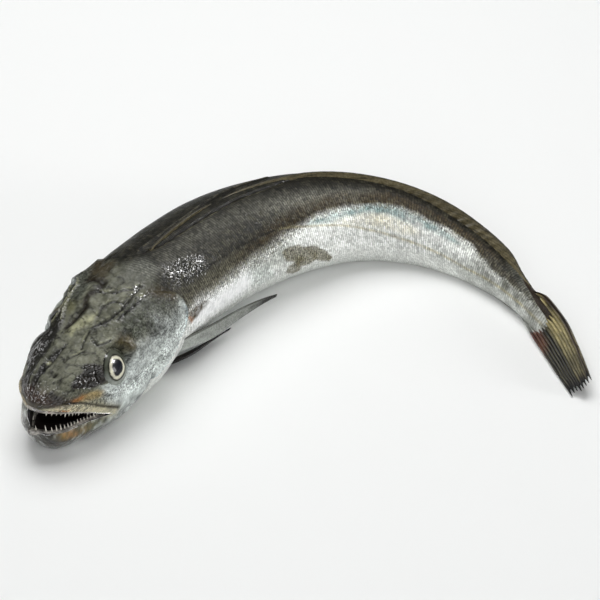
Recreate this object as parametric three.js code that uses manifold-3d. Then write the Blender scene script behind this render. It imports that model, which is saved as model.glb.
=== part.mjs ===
// A whole small hake, a slender food fish about 46 cm long, lying on a flat surface.
// It rests on its belly with its body bent round to its left in a wide bow, mouth open.
// The head is upright, and the trunk leans over to its right more and more towards the tail.
//
// Millimetres, +Z up, resting on z = 0. +X runs from the head end to the tail end of the bow,
// and the hollow side of the bow faces -Y.
//
// The fish is first built straight, in its own axes, and then bent:
//   along  distance back from the snout, down the middle of the body
//   right  towards the fish's right side
//   up     towards its back
// "turn" is the angle round the body in degrees: 0 back, 90 left flank, 180 belly, 270 right flank.

import * as THREE from "three";
import { mergeVertices } from "three/addons/utils/BufferGeometryUtils.js";
import Module from "manifold-3d";

const wasm = await Module();
wasm.setup();

// ---------------------------------------------------------------- driving dimensions

const fish = {
  length: 464, // snout to the tips of the tail fin
  trunkEnd: 414, // where the trunk runs out inside the tail fin
  snoutLength: 13, // length over which the snout rounds off
  snoutFace: 0.3, // size of its blunt front face, as a share of the lips
  sag: 2, // how far the soft belly flattens where it rests
};

// Half-sizes of the trunk at named places: above, below and beside its middle line.
// "boxy" is the exponent of the rounded section: 2 is an ellipse, more is squarer.
const stations = {
  lips: { along: 0, up: 8, down: 27, side: 11.5, boxy: 2.4 },
  snout: { along: 20, up: 16.5, down: 33.5, side: 21, boxy: 2.5 },
  eyes: { along: 46, up: 24.5, down: 31.5, side: 30, boxy: 2.6 },
  cheeks: { along: 78, up: 32.5, down: 33.5, side: 35, boxy: 2.45 },
  gillCovers: { along: 104, up: 32.5, down: 36.5, side: 31.5, boxy: 2.3 },
  shoulders: { along: 150, up: 31.5, down: 36.5, side: 30.5, boxy: 2.2 },
  belly: { along: 218, up: 28.5, down: 31.5, side: 26.5, boxy: 2.2 },
  vent: { along: 278, up: 21, down: 25.5, side: 17, boxy: 2.15 },
  rearTrunk: { along: 338, up: 12, down: 16, side: 11.5, boxy: 2.1 },
  tailStalk: { along: 384, up: 7.4, down: 9.2, side: 6.8, boxy: 2.1 },
  tailRoot: { along: 414, up: 8, down: 8, side: 2.4, boxy: 2 },
};

// How the fish lies: heading of its middle line on the table, and lean to its right, in degrees.
const lie = [
  { along: 0, heading: 58, lean: -1.5 },
  { along: 60, heading: 58, lean: -1 },
  { along: 118, heading: 54, lean: 1 },
  { along: 180, heading: 39.5, lean: 7.5 },
  { along: 240, heading: 17, lean: 16.5 },
  { along: 300, heading: -19.5, lean: 27 },
  { along: 360, heading: -52.5, lean: 36 },
  { along: 410, heading: -69, lean: 42 },
  { along: 464, heading: -74, lean: 45 },
];
const tailLift = { along: 414, height: 9.6, tip: 6.4 }; // middle line's height in the tail fin
const snoutLift = 1.5; // how much higher the middle line is at the lips than at the snout
const seat = { x: 0.23, y: 75.24 }; // puts the origin under the middle of the whole fish

// "faces" is how far each eye looks out from straight up. The head lies a little askew, so the
// right eye sits lower than the left one.
const eye = {
  along: 42.5,
  radius: 11,
  depth: 5,
  gap: 0.3,
  left: { turn: 55, faces: 57.5, proud: 0.8 },
  right: { turn: 70, faces: 70, proud: 0.1 },
};
// How far the lower jaw juts forward and hangs to the left at its front, and where that dies out.
const jaw = { chin: 8, swing: 3, reach: 60 };
const mouth = {
  corner: { along: 34.5, up: -14 },
  upperLip: -1.2, // height of the upper lip at the front
  lowerLip: -13.8, // height of the lower lip at the front
  rightWall: 6.5, // skin that closes the gape on the right side
  lipThickness: 4.2,
  hollow: { from: 1.5, to: 40, frontHeight: 9.5, backHeight: 6.5 }, // half heights, behind the lips
};
const teeth = { length: 3.6, width: 1.5, root: 2.4, inset: 2.4, from: 2.5, to: 27, each: 9, sides: 4 };

// Ridges and creases of the head, alike on both sides. A path is a list of [along, degrees round
// from the back], and a crease has a negative height.
const folds = {
  skull: { height: 1.3, width: 2.6, path: [[46, 6], [56, 10], [66, 15], [78, 21]] },
  brow: { height: 1.4, width: 3.2, path: [[30, 36], [38, 35], [47, 32], [54, 36]] },
  snoutRidge: { height: 1.1, width: 3, path: [[6, 34], [16, 30], [28, 34]] },
  upperJaw: { height: 1.5, width: 3.6, path: [[2, 84], [12, 86], [24, 93], [38, 107]] },
  lowerJaw: { height: 1.2, width: 3.4, path: [[3, 130], [12, 124], [24, 123], [40, 122]] },
  cheekCrease: { height: -1.2, width: 2.4, path: [[60, 46], [68, 54], [73, 74], [70, 92], [61, 105]] },
};

// The gill cover's free edge: degrees round from the back, and the distance along there.
const gillCover = {
  step: 1.6, // how far it stands proud of the shoulder
  softness: 3, // length over which the step falls
  around: [22, 38, 56, 73, 84, 92, 99, 106, 140, 180],
  along: [80, 93, 102, 104.5, 101.5, 90, 75, 62, 47, 41],
};

// The tail fin is closed like a damp brush. "at" is the share of its length, and "upper" and
// "lower" are its edges there, from the middle line.
const tail = {
  root: 380,
  rays: 13,
  at: [0, 0.16, 0.4, 0.64, 1],
  upper: [5, 10.8, 11.2, 9.6, 6.8],
  lower: [-6, -9.5, -11, -10.4, -8],
  rootThickness: 3,
  tipThickness: 0.9,
  notch: 3.5, // depth of the gaps between the ray ends
  fork: 5, // how much longer the middle rays are than the outer ones
};

// Fins on the middle line: height along the fin, and "sideways" for how far they fold over.
const midlineFins = {
  firstBack: {
    from: 112, to: 166, turn: 0, rows: 10, sideways: -0.3, thickness: 1.8,
    at: [0, 0.2, 0.7, 1],
    height: [0.4, 2.6, 2.2, 0.6],
  },
  secondBack: {
    from: 174, to: 379, turn: 0, rows: 34, sideways: -0.3, thickness: 2,
    at: [0, 0.2, 0.5, 0.7, 0.84, 0.95, 1],
    height: [0.8, 2, 3.2, 5, 4.8, 1.6, 0.6],
  },
  belly: {
    from: 214, to: 378, turn: 188, rows: 26, sideways: 0.8, thickness: 1.5,
    at: [0, 0.2, 0.8, 1],
    height: [0.3, 1.2, 2, 0.5],
  },
};

// Paired fins trail back beside the body. Each edge is a list of [along, outwards, up].
const pairedFins = {
  pectoral: {
    thickness: 1.2,
    upperEdge: [[96, 30, -9], [125, 31, -17], [155, 30, -23], [189, 27, -28.6]],
    lowerEdge: [[96, 26, -20], [125, 30.5, -27], [155, 28.8, -30.5], [188, 26.6, -30.2]],
  },
  pelvic: {
    thickness: 1.2,
    upperEdge: [[84, 20, -26], [105, 28, -28.5], [125, 30, -30], [145, 30, -31.4]],
    lowerEdge: [[84, 13, -30], [105, 21, -32.6], [125, 26, -33], [143, 29.5, -32.6]],
  },
};
const rightFinLift = 2; // the lean presses the right side's paired fins up a little

const rings = { head: 41, headEnd: 112, trunk: 39, around: 40 };

// ---------------------------------------------------------------- small tools

const rad = THREE.MathUtils.degToRad;
const { clamp, lerp, smoothstep } = THREE.MathUtils;

// A smooth curve through points that never overshoots them (monotone cubic).
function smoothThrough(xs, ys) {
  const slopes = ys.slice(1).map((y, i) => (y - ys[i]) / (xs[i + 1] - xs[i]));
  const tangents = ys.map((_, i) => {
    const before = slopes[Math.max(i - 1, 0)];
    const after = slopes[Math.min(i, slopes.length - 1)];
    if (before * after <= 0) return 0;
    return (2 * before * after) / (before + after);
  });
  return (x) => {
    const last = xs.length - 2;
    let i = 0;
    while (i < last && x > xs[i + 1]) i += 1;
    const span = xs[i + 1] - xs[i];
    const t = clamp((x - xs[i]) / span, 0, 1);
    const bend = (1 - t) * tangents[i] - t * tangents[i + 1];
    return lerp(ys[i], ys[i + 1], t * t * (3 - 2 * t)) + span * t * (1 - t) * bend;
  };
}

function curveOf(table, key) {
  return smoothThrough(table.map((row) => row.along), table.map((row) => row[key]));
}

function meshOf(points, triangles) {
  const geometry = new THREE.BufferGeometry();
  geometry.setAttribute("position", new THREE.Float32BufferAttribute(points.flat(), 3));
  geometry.setIndex(triangles.flat());
  return geometry;
}

function solidOf(geometry) {
  const bare = new THREE.BufferGeometry();
  bare.setAttribute("position", geometry.getAttribute("position"));
  bare.setIndex(geometry.index);
  const merged = mergeVertices(bare, 1e-4);
  const mesh = new wasm.Mesh({
    numProp: 3,
    vertProperties: new Float32Array(merged.attributes.position.array),
    triVerts: new Uint32Array(merged.index.array),
  });
  return new wasm.Manifold(mesh);
}

function geometryOf(solid) {
  const { vertProperties, triVerts } = solid.getMesh();
  const geometry = new THREE.BufferGeometry();
  geometry.setAttribute("position", new THREE.BufferAttribute(vertProperties, 3));
  geometry.setIndex(new THREE.BufferAttribute(triVerts, 1));
  return geometry;
}

// ---------------------------------------------------------------- the skin's relief

// The distance round from the back, the same on both flanks.
function fromBack(turn) {
  const t = ((turn % 360) + 360) % 360;
  return t > 180 ? 360 - t : t;
}

const degreeLength = 0.55; // mm along the skin for a degree round the head

function distanceToPath(along, around, path) {
  const point = new THREE.Vector2(along, around * degreeLength);
  const nearest = path.slice(1).map(([a, t], i) => {
    const from = new THREE.Vector2(path[i][0], path[i][1] * degreeLength);
    const leg = new THREE.Vector2(a, t * degreeLength).sub(from);
    const share = clamp(point.clone().sub(from).dot(leg) / leg.lengthSq(), 0, 1);
    return point.distanceTo(from.addScaledVector(leg, share));
  });
  return Math.min(...nearest);
}

function foldHeight(along, around) {
  return Object.values(folds).reduce((sum, { height, width, path }) => {
    const d = distanceToPath(along, around, path) / width;
    return sum + height * Math.exp(-d * d);
  }, 0);
}

const gillEdge = smoothThrough(gillCover.around, gillCover.along);

// The gill cover stands a step proud of the shoulder behind it.
function gillStep(along, around) {
  const ahead = gillEdge(around) - along;
  const edge = smoothstep(ahead, -0.3 * gillCover.softness, 0.7 * gillCover.softness);
  const fade = smoothstep(around, 24, 45) * (1 - smoothstep(ahead, 8, 40));
  return gillCover.step * edge * fade;
}

// ---------------------------------------------------------------- the trunk's surface

const places = Object.values(stations);
const half = {
  up: curveOf(places, "up"),
  down: curveOf(places, "down"),
  side: curveOf(places, "side"),
  boxy: curveOf(places, "boxy"),
};

function snoutRounding(along) {
  const t = clamp(1 - along / fish.snoutLength, 0, 1);
  return Math.sqrt(1 - t * t * (1 - fish.snoutFace ** 2));
}

function jawFade(along) {
  return clamp(1 - along / jaw.reach, 0, 1) ** 1.5;
}

// A point on the skin in the straight fish.
function skinPoint(along, turn) {
  const round = snoutRounding(along);
  const c = Math.cos(rad(turn));
  const s = Math.sin(rad(turn));
  const n = half.boxy(along);
  const reach = round / (Math.abs(c) ** n + Math.abs(s) ** n) ** (1 / n);
  const rise = c > 0 ? half.up(along) : half.down(along);
  const around = fromBack(turn);
  const relief = (gillStep(along, around) + foldHeight(along, around)) * round;
  const jawShare = smoothstep(-c, 0.2, 0.7) * jawFade(along) * round;
  return new THREE.Vector3(
    along - jaw.chin * jawShare,
    -(half.side(along) * reach + relief) * s - jaw.swing * jawShare,
    (rise * reach + relief) * c,
  );
}

// ---------------------------------------------------------------- solids, still straight

function trunkSolid() {
  const stops = [];
  for (let i = 1; i <= rings.head; i += 1) {
    const t = i / rings.head;
    stops.push(rings.headEnd * lerp(t * t, t, 0.6)); // closer together at the snout
  }
  for (let i = 1; i <= rings.trunk; i += 1) {
    stops.push(lerp(rings.headEnd, fish.trunkEnd, i / rings.trunk));
  }
  const points = [[0, 0, 0]];
  for (const along of stops) {
    for (let k = 0; k < rings.around; k += 1) {
      points.push(skinPoint(along, (360 * k) / rings.around).toArray());
    }
  }
  points.push([fish.trunkEnd + 1, 0, 0]);
  const triangles = [];
  const at = (ring, k) => 1 + ring * rings.around + (k % rings.around);
  const tip = points.length - 1;
  const lastRing = stops.length - 1;
  for (let k = 0; k < rings.around; k += 1) {
    triangles.push([0, at(0, k + 1), at(0, k)]);
    triangles.push([tip, at(lastRing, k), at(lastRing, k + 1)]);
    for (let ring = 0; ring < lastRing; ring += 1) {
      triangles.push([at(ring, k), at(ring + 1, k + 1), at(ring + 1, k)]);
      triangles.push([at(ring, k), at(ring, k + 1), at(ring + 1, k + 1)]);
    }
  }
  return solidOf(meshOf(points, triangles));
}

// The lips seen from the side: both run to the corner of the mouth.
const upperLipAt = smoothThrough(
  [-jaw.chin, 0, mouth.corner.along],
  [mouth.upperLip, mouth.upperLip, mouth.corner.up],
);
const lowerLipAt = smoothThrough(
  [-jaw.chin, 0, mouth.corner.along],
  [mouth.lowerLip, mouth.lowerLip, mouth.corner.up],
);

// Half the gape's width on the right, where a wall of skin closes it. The lips round off there
// as the snout does, a chin's length further forward.
function gapeReach(along) {
  const lipSide = half.side(along) * snoutRounding(along + jaw.chin);
  return Math.max(lipSide - mouth.rightWall - jaw.swing * jawFade(along), 0.5);
}

// The gape is a wedge between the lips, open in front and on the left.
function gapeSolid() {
  const { corner } = mouth;
  const steps = 8;
  const outline = [];
  for (let i = 0; i <= steps; i += 1) {
    const along = lerp(-jaw.chin, corner.along, i / steps);
    outline.push(new THREE.Vector2(along, upperLipAt(along)));
  }
  for (let i = steps - 1; i >= 0; i -= 1) {
    const along = lerp(-jaw.chin, corner.along, i / steps);
    outline.push(new THREE.Vector2(along, lowerLipAt(along)));
  }
  const leftReach = 2 * half.side(corner.along);
  const gape = new THREE.ExtrudeGeometry(new THREE.Shape(outline), { depth: 1, bevelEnabled: false });
  const position = gape.getAttribute("position");
  for (let i = 0; i < position.count; i += 1) {
    const [along, up] = [position.getX(i), position.getY(i)];
    position.setXYZ(i, along, position.getZ(i) > 0.5 ? -leftReach : gapeReach(along), up);
  }
  return facingOut(gape);
}

// Behind the lips the mouth is hollow, with an arched palate and a floor.
function mouthHollow() {
  const { hollow, lipThickness } = mouth;
  const stops = 10;
  const around = 16;
  const points = [];
  const centre = (along) => (upperLipAt(along) + lowerLipAt(along)) / 2;
  const swung = (along) => (-jaw.swing * jawFade(along)) / 2;
  for (let i = 0; i <= stops; i += 1) {
    const t = i / stops;
    const along = lerp(hollow.from, hollow.to, t);
    const end = Math.sqrt(Math.sin(Math.PI * lerp(0.06, 0.97, t))); // rounds off both ends
    const wide = (half.side(along) * snoutRounding(along + lipThickness) - lipThickness) * end;
    const tall = lerp(hollow.frontHeight, hollow.backHeight, t) * end;
    for (let k = 0; k < around; k += 1) {
      const a = (2 * Math.PI * k) / around;
      points.push([along, swung(along) + wide * Math.sin(a), centre(along) + tall * Math.cos(a)]);
    }
  }
  const first = points.push([hollow.from - 0.5, swung(hollow.from), centre(hollow.from)]) - 1;
  const last = points.push([hollow.to + 1, swung(hollow.to), centre(hollow.to)]) - 1;
  const at = (ring, k) => ring * around + (k % around);
  const triangles = [];
  for (let k = 0; k < around; k += 1) {
    triangles.push([first, at(0, k), at(0, k + 1)]);
    triangles.push([last, at(stops, k + 1), at(stops, k)]);
    for (let ring = 0; ring < stops; ring += 1) {
      triangles.push([at(ring, k), at(ring + 1, k), at(ring + 1, k + 1)]);
      triangles.push([at(ring, k), at(ring + 1, k + 1), at(ring, k + 1)]);
    }
  }
  return facingOut(meshOf(points, triangles));
}

function facingOut(geometry) {
  const solid = solidOf(geometry);
  if (solid.volume() > 0) return solid;
  const index = geometry.index.array;
  for (let i = 0; i < index.length; i += 3) [index[i], index[i + 1]] = [index[i + 1], index[i]];
  return solidOf(geometry);
}

// How far right the skin lies at a height, found by walking round from the back. On the left,
// side -1, that is negative.
function skinSide(along, height, side) {
  for (let around = 60; around < 176; around += 2) {
    const p = skinPoint(along, side > 0 ? 360 - around : around);
    if (p.z < height) return p.y;
  }
  return 0;
}

// Small pointed teeth stand along both jaws, just inside the lips.
function teethSolids() {
  const found = [];
  for (const [lipAt, pointing] of [[upperLipAt, -1], [lowerLipAt, 1]]) {
    for (const side of [1, -1]) {
      for (let i = 0; i < teeth.each; i += 1) {
        const share = (i + 0.4) / teeth.each;
        const along = lerp(teeth.from, teeth.to, share);
        const size = teeth.length * (1 - 0.3 * share) * (i % 2 ? 1 : 0.75);
        const rooted = size + teeth.root;
        const tooth = new THREE.ConeGeometry(teeth.width / 2, rooted, teeth.sides);
        tooth.rotateX((pointing * Math.PI) / 2);
        const jut = pointing > 0 ? 0.55 * jaw.chin * (1 - share) : 0;
        const across = skinSide(along, lipAt(along) - 2 * pointing, side) - side * teeth.inset;
        const height = lipAt(along) + pointing * (rooted / 2 - teeth.root);
        tooth.translate(along - jut, across, height);
        found.push(solidOf(tooth));
      }
    }
  }
  return found;
}

// The eye is a flattened ball that looks out sideways and a little upwards.
function eyeGeometry(side, spare) {
  const ball = new THREE.SphereGeometry(1, 20, 12);
  ball.scale(eye.radius + spare, eye.depth + spare, eye.radius + spare);
  const { turn, faces, proud } = side > 0 ? eye.right : eye.left;
  const risen = rad(90 - faces);
  ball.rotateX(side * risen);
  const outward = new THREE.Vector3(0, side * Math.cos(risen), Math.sin(risen));
  const centre = skinPoint(eye.along, side > 0 ? 360 - turn : turn);
  centre.addScaledVector(outward, proud - eye.depth);
  return ball.translate(centre.x, centre.y, centre.z);
}

// A thin sheet between two edge curves. "low(a)" and "high(a)" are points at a from 0 to 1 along
// the fin, and halfThick(a, b) is half its thickness at b from the low edge to the high one.
function finSolid({ rows, columns, low, high, halfThick, shorten = () => 0 }) {
  const sheet = (a, b) => low(a).lerp(high(a), b);
  const across = (a, b) => {
    const step = 0.01;
    const [a0, a1] = [Math.max(a - step, 0), Math.min(a + step, 1)];
    const lengthwise = sheet(a1, b).sub(sheet(a0, b));
    return lengthwise.cross(sheet(a, 1).sub(sheet(a, 0))).normalize();
  };
  const points = [];
  for (const face of [1, -1]) {
    for (let i = 0; i <= rows; i += 1) {
      for (let k = 0; k <= columns; k += 1) {
        const [a, b] = [i / rows, k / columns];
        const p = sheet(a, b).addScaledVector(across(a, b), face * halfThick(a, b));
        points.push([p.x - shorten(a, b), p.y, p.z]);
      }
    }
  }
  const width = columns + 1;
  const near = (i, k) => i * width + k;
  const far = (i, k) => (rows + 1) * width + near(i, k);
  const triangles = [];
  const quad = (p, q, r, s) => triangles.push([p, q, r], [p, r, s]);
  for (let i = 0; i < rows; i += 1) {
    for (let k = 0; k < columns; k += 1) {
      quad(near(i, k), near(i, k + 1), near(i + 1, k + 1), near(i + 1, k));
      quad(far(i, k), far(i + 1, k), far(i + 1, k + 1), far(i, k + 1));
    }
    quad(near(i, 0), near(i + 1, 0), far(i + 1, 0), far(i, 0));
    quad(near(i, columns), far(i, columns), far(i + 1, columns), near(i + 1, columns));
  }
  for (let k = 0; k < columns; k += 1) {
    quad(near(0, k), far(0, k), far(0, k + 1), near(0, k + 1));
    quad(near(rows, k), near(rows, k + 1), far(rows, k + 1), far(rows, k));
  }
  return facingOut(meshOf(points, triangles));
}

function tailFin() {
  const upper = smoothThrough(tail.at, tail.upper);
  const lower = smoothThrough(tail.at, tail.lower);
  const longest = 0.6; // the longest ray, as a share from the lower edge
  const ragged = (b) =>
    tail.notch * Math.abs(Math.sin(Math.PI * tail.rays * b)) + tail.fork * Math.abs(b - longest);
  return finSolid({
    rows: 9,
    columns: 2 * tail.rays,
    low: (a) => new THREE.Vector3(lerp(tail.root, fish.length, a), 0, lower(a)),
    high: (a) => new THREE.Vector3(lerp(tail.root, fish.length, a), 0, upper(a)),
    shorten: (a, b) => ragged(b) * a ** 4,
    halfThick: (a, b) => {
      const rib = 0.8 + 0.2 * Math.cos(2 * Math.PI * tail.rays * b);
      return lerp(tail.rootThickness, tail.tipThickness, a ** 0.6) * rib * thinnedEdges(b);
    },
  });
}

// A fin on the middle line of the back or belly, folded back along the body.
function midlineFin({ from, to, turn, rows, sideways, thickness, at, height }) {
  const heightAt = smoothThrough(at, height);
  const root = (a) => skinPoint(lerp(from, to, a), turn);
  const upwards = turn === 0 ? 1 : -1;
  const rooted = 2.5; // how deep the fin's foot stands in the body
  return finSolid({
    rows,
    columns: 2,
    low: (a) => root(a).add(new THREE.Vector3(0, 0, -rooted * upwards)),
    high: (a) => root(a).add(new THREE.Vector3(0, sideways * heightAt(a), upwards * heightAt(a))),
    halfThick: (a, b) => lerp(thickness, 0.5, b),
  });
}

function pairedFin({ thickness, upperEdge, lowerEdge }, side) {
  const raised = side > 0 ? rightFinLift : 0;
  const edge = (points) =>
    new THREE.CatmullRomCurve3(
      points.map(([along, out, up]) => new THREE.Vector3(along, side * out, up + raised)),
    );
  const [high, low] = [edge(upperEdge), edge(lowerEdge)];
  return finSolid({
    rows: 10,
    columns: 4,
    low: (a) => low.getPoint(a),
    high: (a) => high.getPoint(a),
    halfThick: (a, b) => lerp(thickness, 0.5, a) * thinnedEdges(b),
  });
}

function thinnedEdges(b) {
  return lerp(1, 0.7, Math.abs(2 * b - 1));
}

function finSolids() {
  const middle = Object.values(midlineFins).map(midlineFin);
  const pairs = [-1, 1].flatMap((side) => Object.values(pairedFins).map((fin) => pairedFin(fin, side)));
  return [tailFin(), ...middle, ...pairs];
}

// ---------------------------------------------------------------- bending and laying down

const heading = curveOf(lie, "heading");
const lean = curveOf(lie, "lean");

// The middle line's height, so that each part of the belly just rests on the table.
const lift = (() => {
  const touching = places.filter(({ along }) => along > fish.snoutLength && along < tailLift.along);
  const heights = touching.map(({ along }) => {
    const r = rad(lean(along));
    let lowest = 0;
    for (let turn = 90; turn < 300; turn += 3) {
      const { y, z } = skinPoint(along, turn);
      lowest = Math.min(lowest, z * Math.cos(r) - y * Math.sin(r));
    }
    return Math.max(-lowest - fish.sag, tailLift.height);
  });
  return smoothThrough(
    [0, ...touching.map(({ along }) => along), tailLift.along, fish.length],
    [heights[0] + snoutLift, ...heights, tailLift.height, tailLift.tip],
  );
})();

// The middle line on the table, stepped out from the snout, with its middle at the origin.
const line = (() => {
  const step = 0.5;
  const count = Math.ceil(fish.length / step);
  const points = [new THREE.Vector2(0, 0)];
  for (let i = 0; i < count; i += 1) {
    const a = rad(heading((i + 0.5) * step));
    const stride = new THREE.Vector2(Math.cos(a), Math.sin(a)).multiplyScalar(step);
    points.push(points[i].clone().add(stride));
  }
  const middle = points[Math.round(count / 2)].clone();
  for (const p of points) p.sub(middle);
  return (along) => {
    const i = clamp(Math.floor(along / step), 0, count - 1);
    return points[i].clone().lerp(points[i + 1], along / step - i);
  };
})();

function lay({ x: along, y: right, z: up }) {
  const at = line(Math.min(along, fish.length));
  const a = rad(heading(along));
  const r = rad(lean(along));
  const outward = up * Math.sin(r) + right * Math.cos(r);
  const height = lift(along) + up * Math.cos(r) - right * Math.sin(r);
  return new THREE.Vector3(
    at.x - Math.sin(a) * outward + seat.x,
    at.y + Math.cos(a) * outward + seat.y,
    Math.max(height, 0), // soft flesh flattens where it meets the table
  );
}

function layDown(geometry) {
  const laid = geometry.clone();
  const position = laid.getAttribute("position");
  const point = new THREE.Vector3();
  for (let i = 0; i < position.count; i += 1) {
    position.setXYZ(i, ...lay(point.fromBufferAttribute(position, i)).toArray());
  }
  laid.computeVertexNormals();
  return laid;
}

// ---------------------------------------------------------------- the fish

function fishGeometry() {
  const sockets = [-1, 1].map((side) => solidOf(eyeGeometry(side, eye.gap)));
  const hollows = [gapeSolid(), mouthHollow(), ...sockets];
  const carved = hollows.reduce((body, hollow) => body.subtract(hollow), trunkSolid());
  const whole = [...teethSolids(), ...finSolids()].reduce((body, piece) => body.add(piece), carved);
  return geometryOf(whole);
}

const skin = new THREE.MeshStandardMaterial({ color: 0x6f7068, roughness: 0.35, metalness: 0.1 });
const eyeFilm = new THREE.MeshStandardMaterial({ color: 0xd9d8c4, roughness: 0.15, metalness: 0 });

function named(name, geometry, material) {
  const mesh = new THREE.Mesh(layDown(geometry), material);
  mesh.name = name;
  return mesh;
}

const hake = new THREE.Group();
hake.add(named("hake", fishGeometry(), skin));
hake.add(named("eye_left", eyeGeometry(-1, 0), eyeFilm));
hake.add(named("eye_right", eyeGeometry(1, 0), eyeFilm));

export default hake;
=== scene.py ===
import math

import bmesh
import bpy
import numpy as np
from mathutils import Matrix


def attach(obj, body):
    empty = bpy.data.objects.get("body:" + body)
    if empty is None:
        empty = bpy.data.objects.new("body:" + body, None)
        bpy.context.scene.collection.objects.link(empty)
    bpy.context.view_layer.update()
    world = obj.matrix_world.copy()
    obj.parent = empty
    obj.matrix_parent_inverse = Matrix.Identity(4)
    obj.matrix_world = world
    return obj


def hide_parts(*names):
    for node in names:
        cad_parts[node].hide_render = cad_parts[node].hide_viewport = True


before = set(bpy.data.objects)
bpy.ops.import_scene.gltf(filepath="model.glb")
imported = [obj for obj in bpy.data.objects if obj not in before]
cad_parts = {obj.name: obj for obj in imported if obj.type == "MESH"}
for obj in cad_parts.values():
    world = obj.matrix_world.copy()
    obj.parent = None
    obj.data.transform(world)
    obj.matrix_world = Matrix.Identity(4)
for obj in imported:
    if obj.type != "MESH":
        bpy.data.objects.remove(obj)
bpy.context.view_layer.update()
print("stage: frame loaded")

# The fish is worked out straight, in millimetres, as (along, right, up): back from the snout,
# to its right, and towards its back. Then lay() bends it over the table, in metres.
# turn is the angle round the body: 0 on the back, + down the left flank, - down the right one.

# in mm: sag flattens the belly on the table, and chin and swing push the lower jaw forward and to the
# left, fading out over chinReach; gillStep is how proud the gill cover stands, over gillSoft
fish = {"length": 464, "trunkEnd": 413, "snoutLength": 13, "snoutFace": 0.3, "sag": 2, "chin": 8,
        "swing": 3, "chinReach": 60, "gillStep": 1.6, "gillSoft": 3, "degreeLength": 0.55}

# along, up, down, side, boxy: half sizes of the trunk, and the exponent of its rounded section
stations = np.array([
    (0, 8, 27, 11.5, 2.4),
    (20, 16.5, 33.5, 21, 2.5),
    (46, 24.5, 31.5, 30, 2.6),
    (78, 32.5, 33.5, 35, 2.45),
    (104, 32.5, 36.5, 31.5, 2.3),
    (150, 31.5, 36.5, 30.5, 2.2),
    (218, 28.5, 31.5, 26.5, 2.2),
    (278, 21, 25.5, 17, 2.15),
    (338, 12, 16, 11.5, 2.1),
    (384, 7.4, 9.2, 6.8, 2.1),
    (414, 8, 8, 2.4, 2),
])

# along, heading, lean: the heading of the middle line and its lean to the right, in degrees
lie = np.array([
    (0, 58, -1.5), (60, 58, -1), (118, 54, 1), (180, 39.5, 7.5), (240, 17, 16.5),
    (300, -19.5, 27), (360, -52.5, 36), (410, -69, 42), (464, -74, 45),
])
# shift of the middle line on the table, its heights at the root and at the tip of the tail fin, and the
# lift of the snout
rest = {"seatX": 0.23, "seatY": 75.24, "tailFrom": 414, "tailHeight": 9.6, "tipHeight": 6.4,
        "snoutLift": 1.5}


def smoothThrough(xs, ys):
    # monotone cubic: each tangent is the harmonic mean of the slopes beside it
    xs, ys = np.asarray(xs, float), np.asarray(ys, float)
    slopes = np.diff(ys) / np.diff(xs)
    before, after = np.append(slopes[:1], slopes), np.append(slopes, slopes[-1:])
    rising = before * after > 0
    tangents = np.where(rising, 2 * before * after / np.where(rising, before + after, 1), 0)

    def at(x):
        x = np.asarray(x, float)
        i = np.clip(np.searchsorted(xs, x) - 1, 0, len(xs) - 2)
        span = xs[i + 1] - xs[i]
        t = np.clip((x - xs[i]) / span, 0, 1)
        bend = (1 - t) * tangents[i] - t * tangents[i + 1]
        return ys[i] + (ys[i + 1] - ys[i]) * t * t * (3 - 2 * t) + span * t * (1 - t) * bend
    return at


def ramp(x, low, high):
    # smooth step from 0 at low to 1 at high, also where high is below low
    t = np.clip((np.asarray(x, float) - low) / (high - low), 0, 1)
    return t * t * (3 - 2 * t)


def blend(a, b, t):
    return a + (b - a) * t


def cloud(u, v, size, seed):
    # value noise from 0 to 1: random numbers on a square lattice, joined by smooth steps
    table = np.random.default_rng(seed).random((64, 64))
    x, y = u / size, v / size
    i, j = np.floor(x).astype(int), np.floor(y).astype(int)
    fx, fy = ramp(x - i, 0, 1), ramp(y - j, 0, 1)
    low = blend(table[i % 64, j % 64], table[(i + 1) % 64, j % 64], fx)
    high = blend(table[i % 64, (j + 1) % 64], table[(i + 1) % 64, (j + 1) % 64], fx)
    return blend(low, high, fy)


def clouds(u, v, size, seed):
    # three octaves of value noise, about -1 to 1
    total = sum(cloud(u, v, size / 2 ** k, seed + k) / 2 ** k for k in range(3))
    return (total / 1.75 - 0.5) * 2


halfUp, halfDown, halfSide, boxy = (smoothThrough(stations[:, 0], stations[:, k]) for k in (1, 2, 3, 4))
heading, lean = (smoothThrough(lie[:, 0], lie[:, k]) for k in (1, 2))
gillEdge = smoothThrough([22, 38, 56, 73, 84, 92, 99, 106, 140, 180],
                         [80, 93, 102, 104.5, 101.5, 90, 75, 62, 47, 41])

# ridges and creases alike on both sides: height, width, path of (along, degrees from the back)
folds = {
    "skull": (1.3, 2.6, [(46, 6), (56, 10), (66, 15), (78, 21)]),
    "brow": (1.4, 3.2, [(30, 36), (38, 35), (47, 32), (54, 36)]),
    "snoutRidge": (1.1, 3, [(6, 34), (16, 30), (28, 34)]),
    "upperJaw": (1.5, 3.6, [(2, 84), (12, 86), (24, 93), (38, 107)]),
    "lowerJaw": (1.2, 3.4, [(3, 130), (12, 124), (24, 123), (40, 122)]),
    "cheekCrease": (-1.2, 2.4, [(60, 46), (68, 54), (73, 74), (70, 92), (61, 105)]),
}


def distanceTo(path, along, turn, degreeLength=None):
    # distance to a broken line on the skin, in mm: the least over its legs
    scale = fish["degreeLength"] if degreeLength is None else degreeLength
    near = np.full(np.shape(along), 1e9)
    for (a0, t0), (a1, t1) in zip(path, path[1:]):
        du, dv = a1 - a0, (t1 - t0) * scale
        pu, pv = along - a0, (turn - t0) * scale
        share = np.clip((pu * du + pv * dv) / (du * du + dv * dv), 0, 1)
        near = np.minimum(near, np.hypot(pu - share * du, pv - share * dv))
    return near


def bell(x, width):
    # 1 at x = 0, fading to 0 over the width on both sides
    return np.exp(-(x / width) ** 2)


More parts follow.
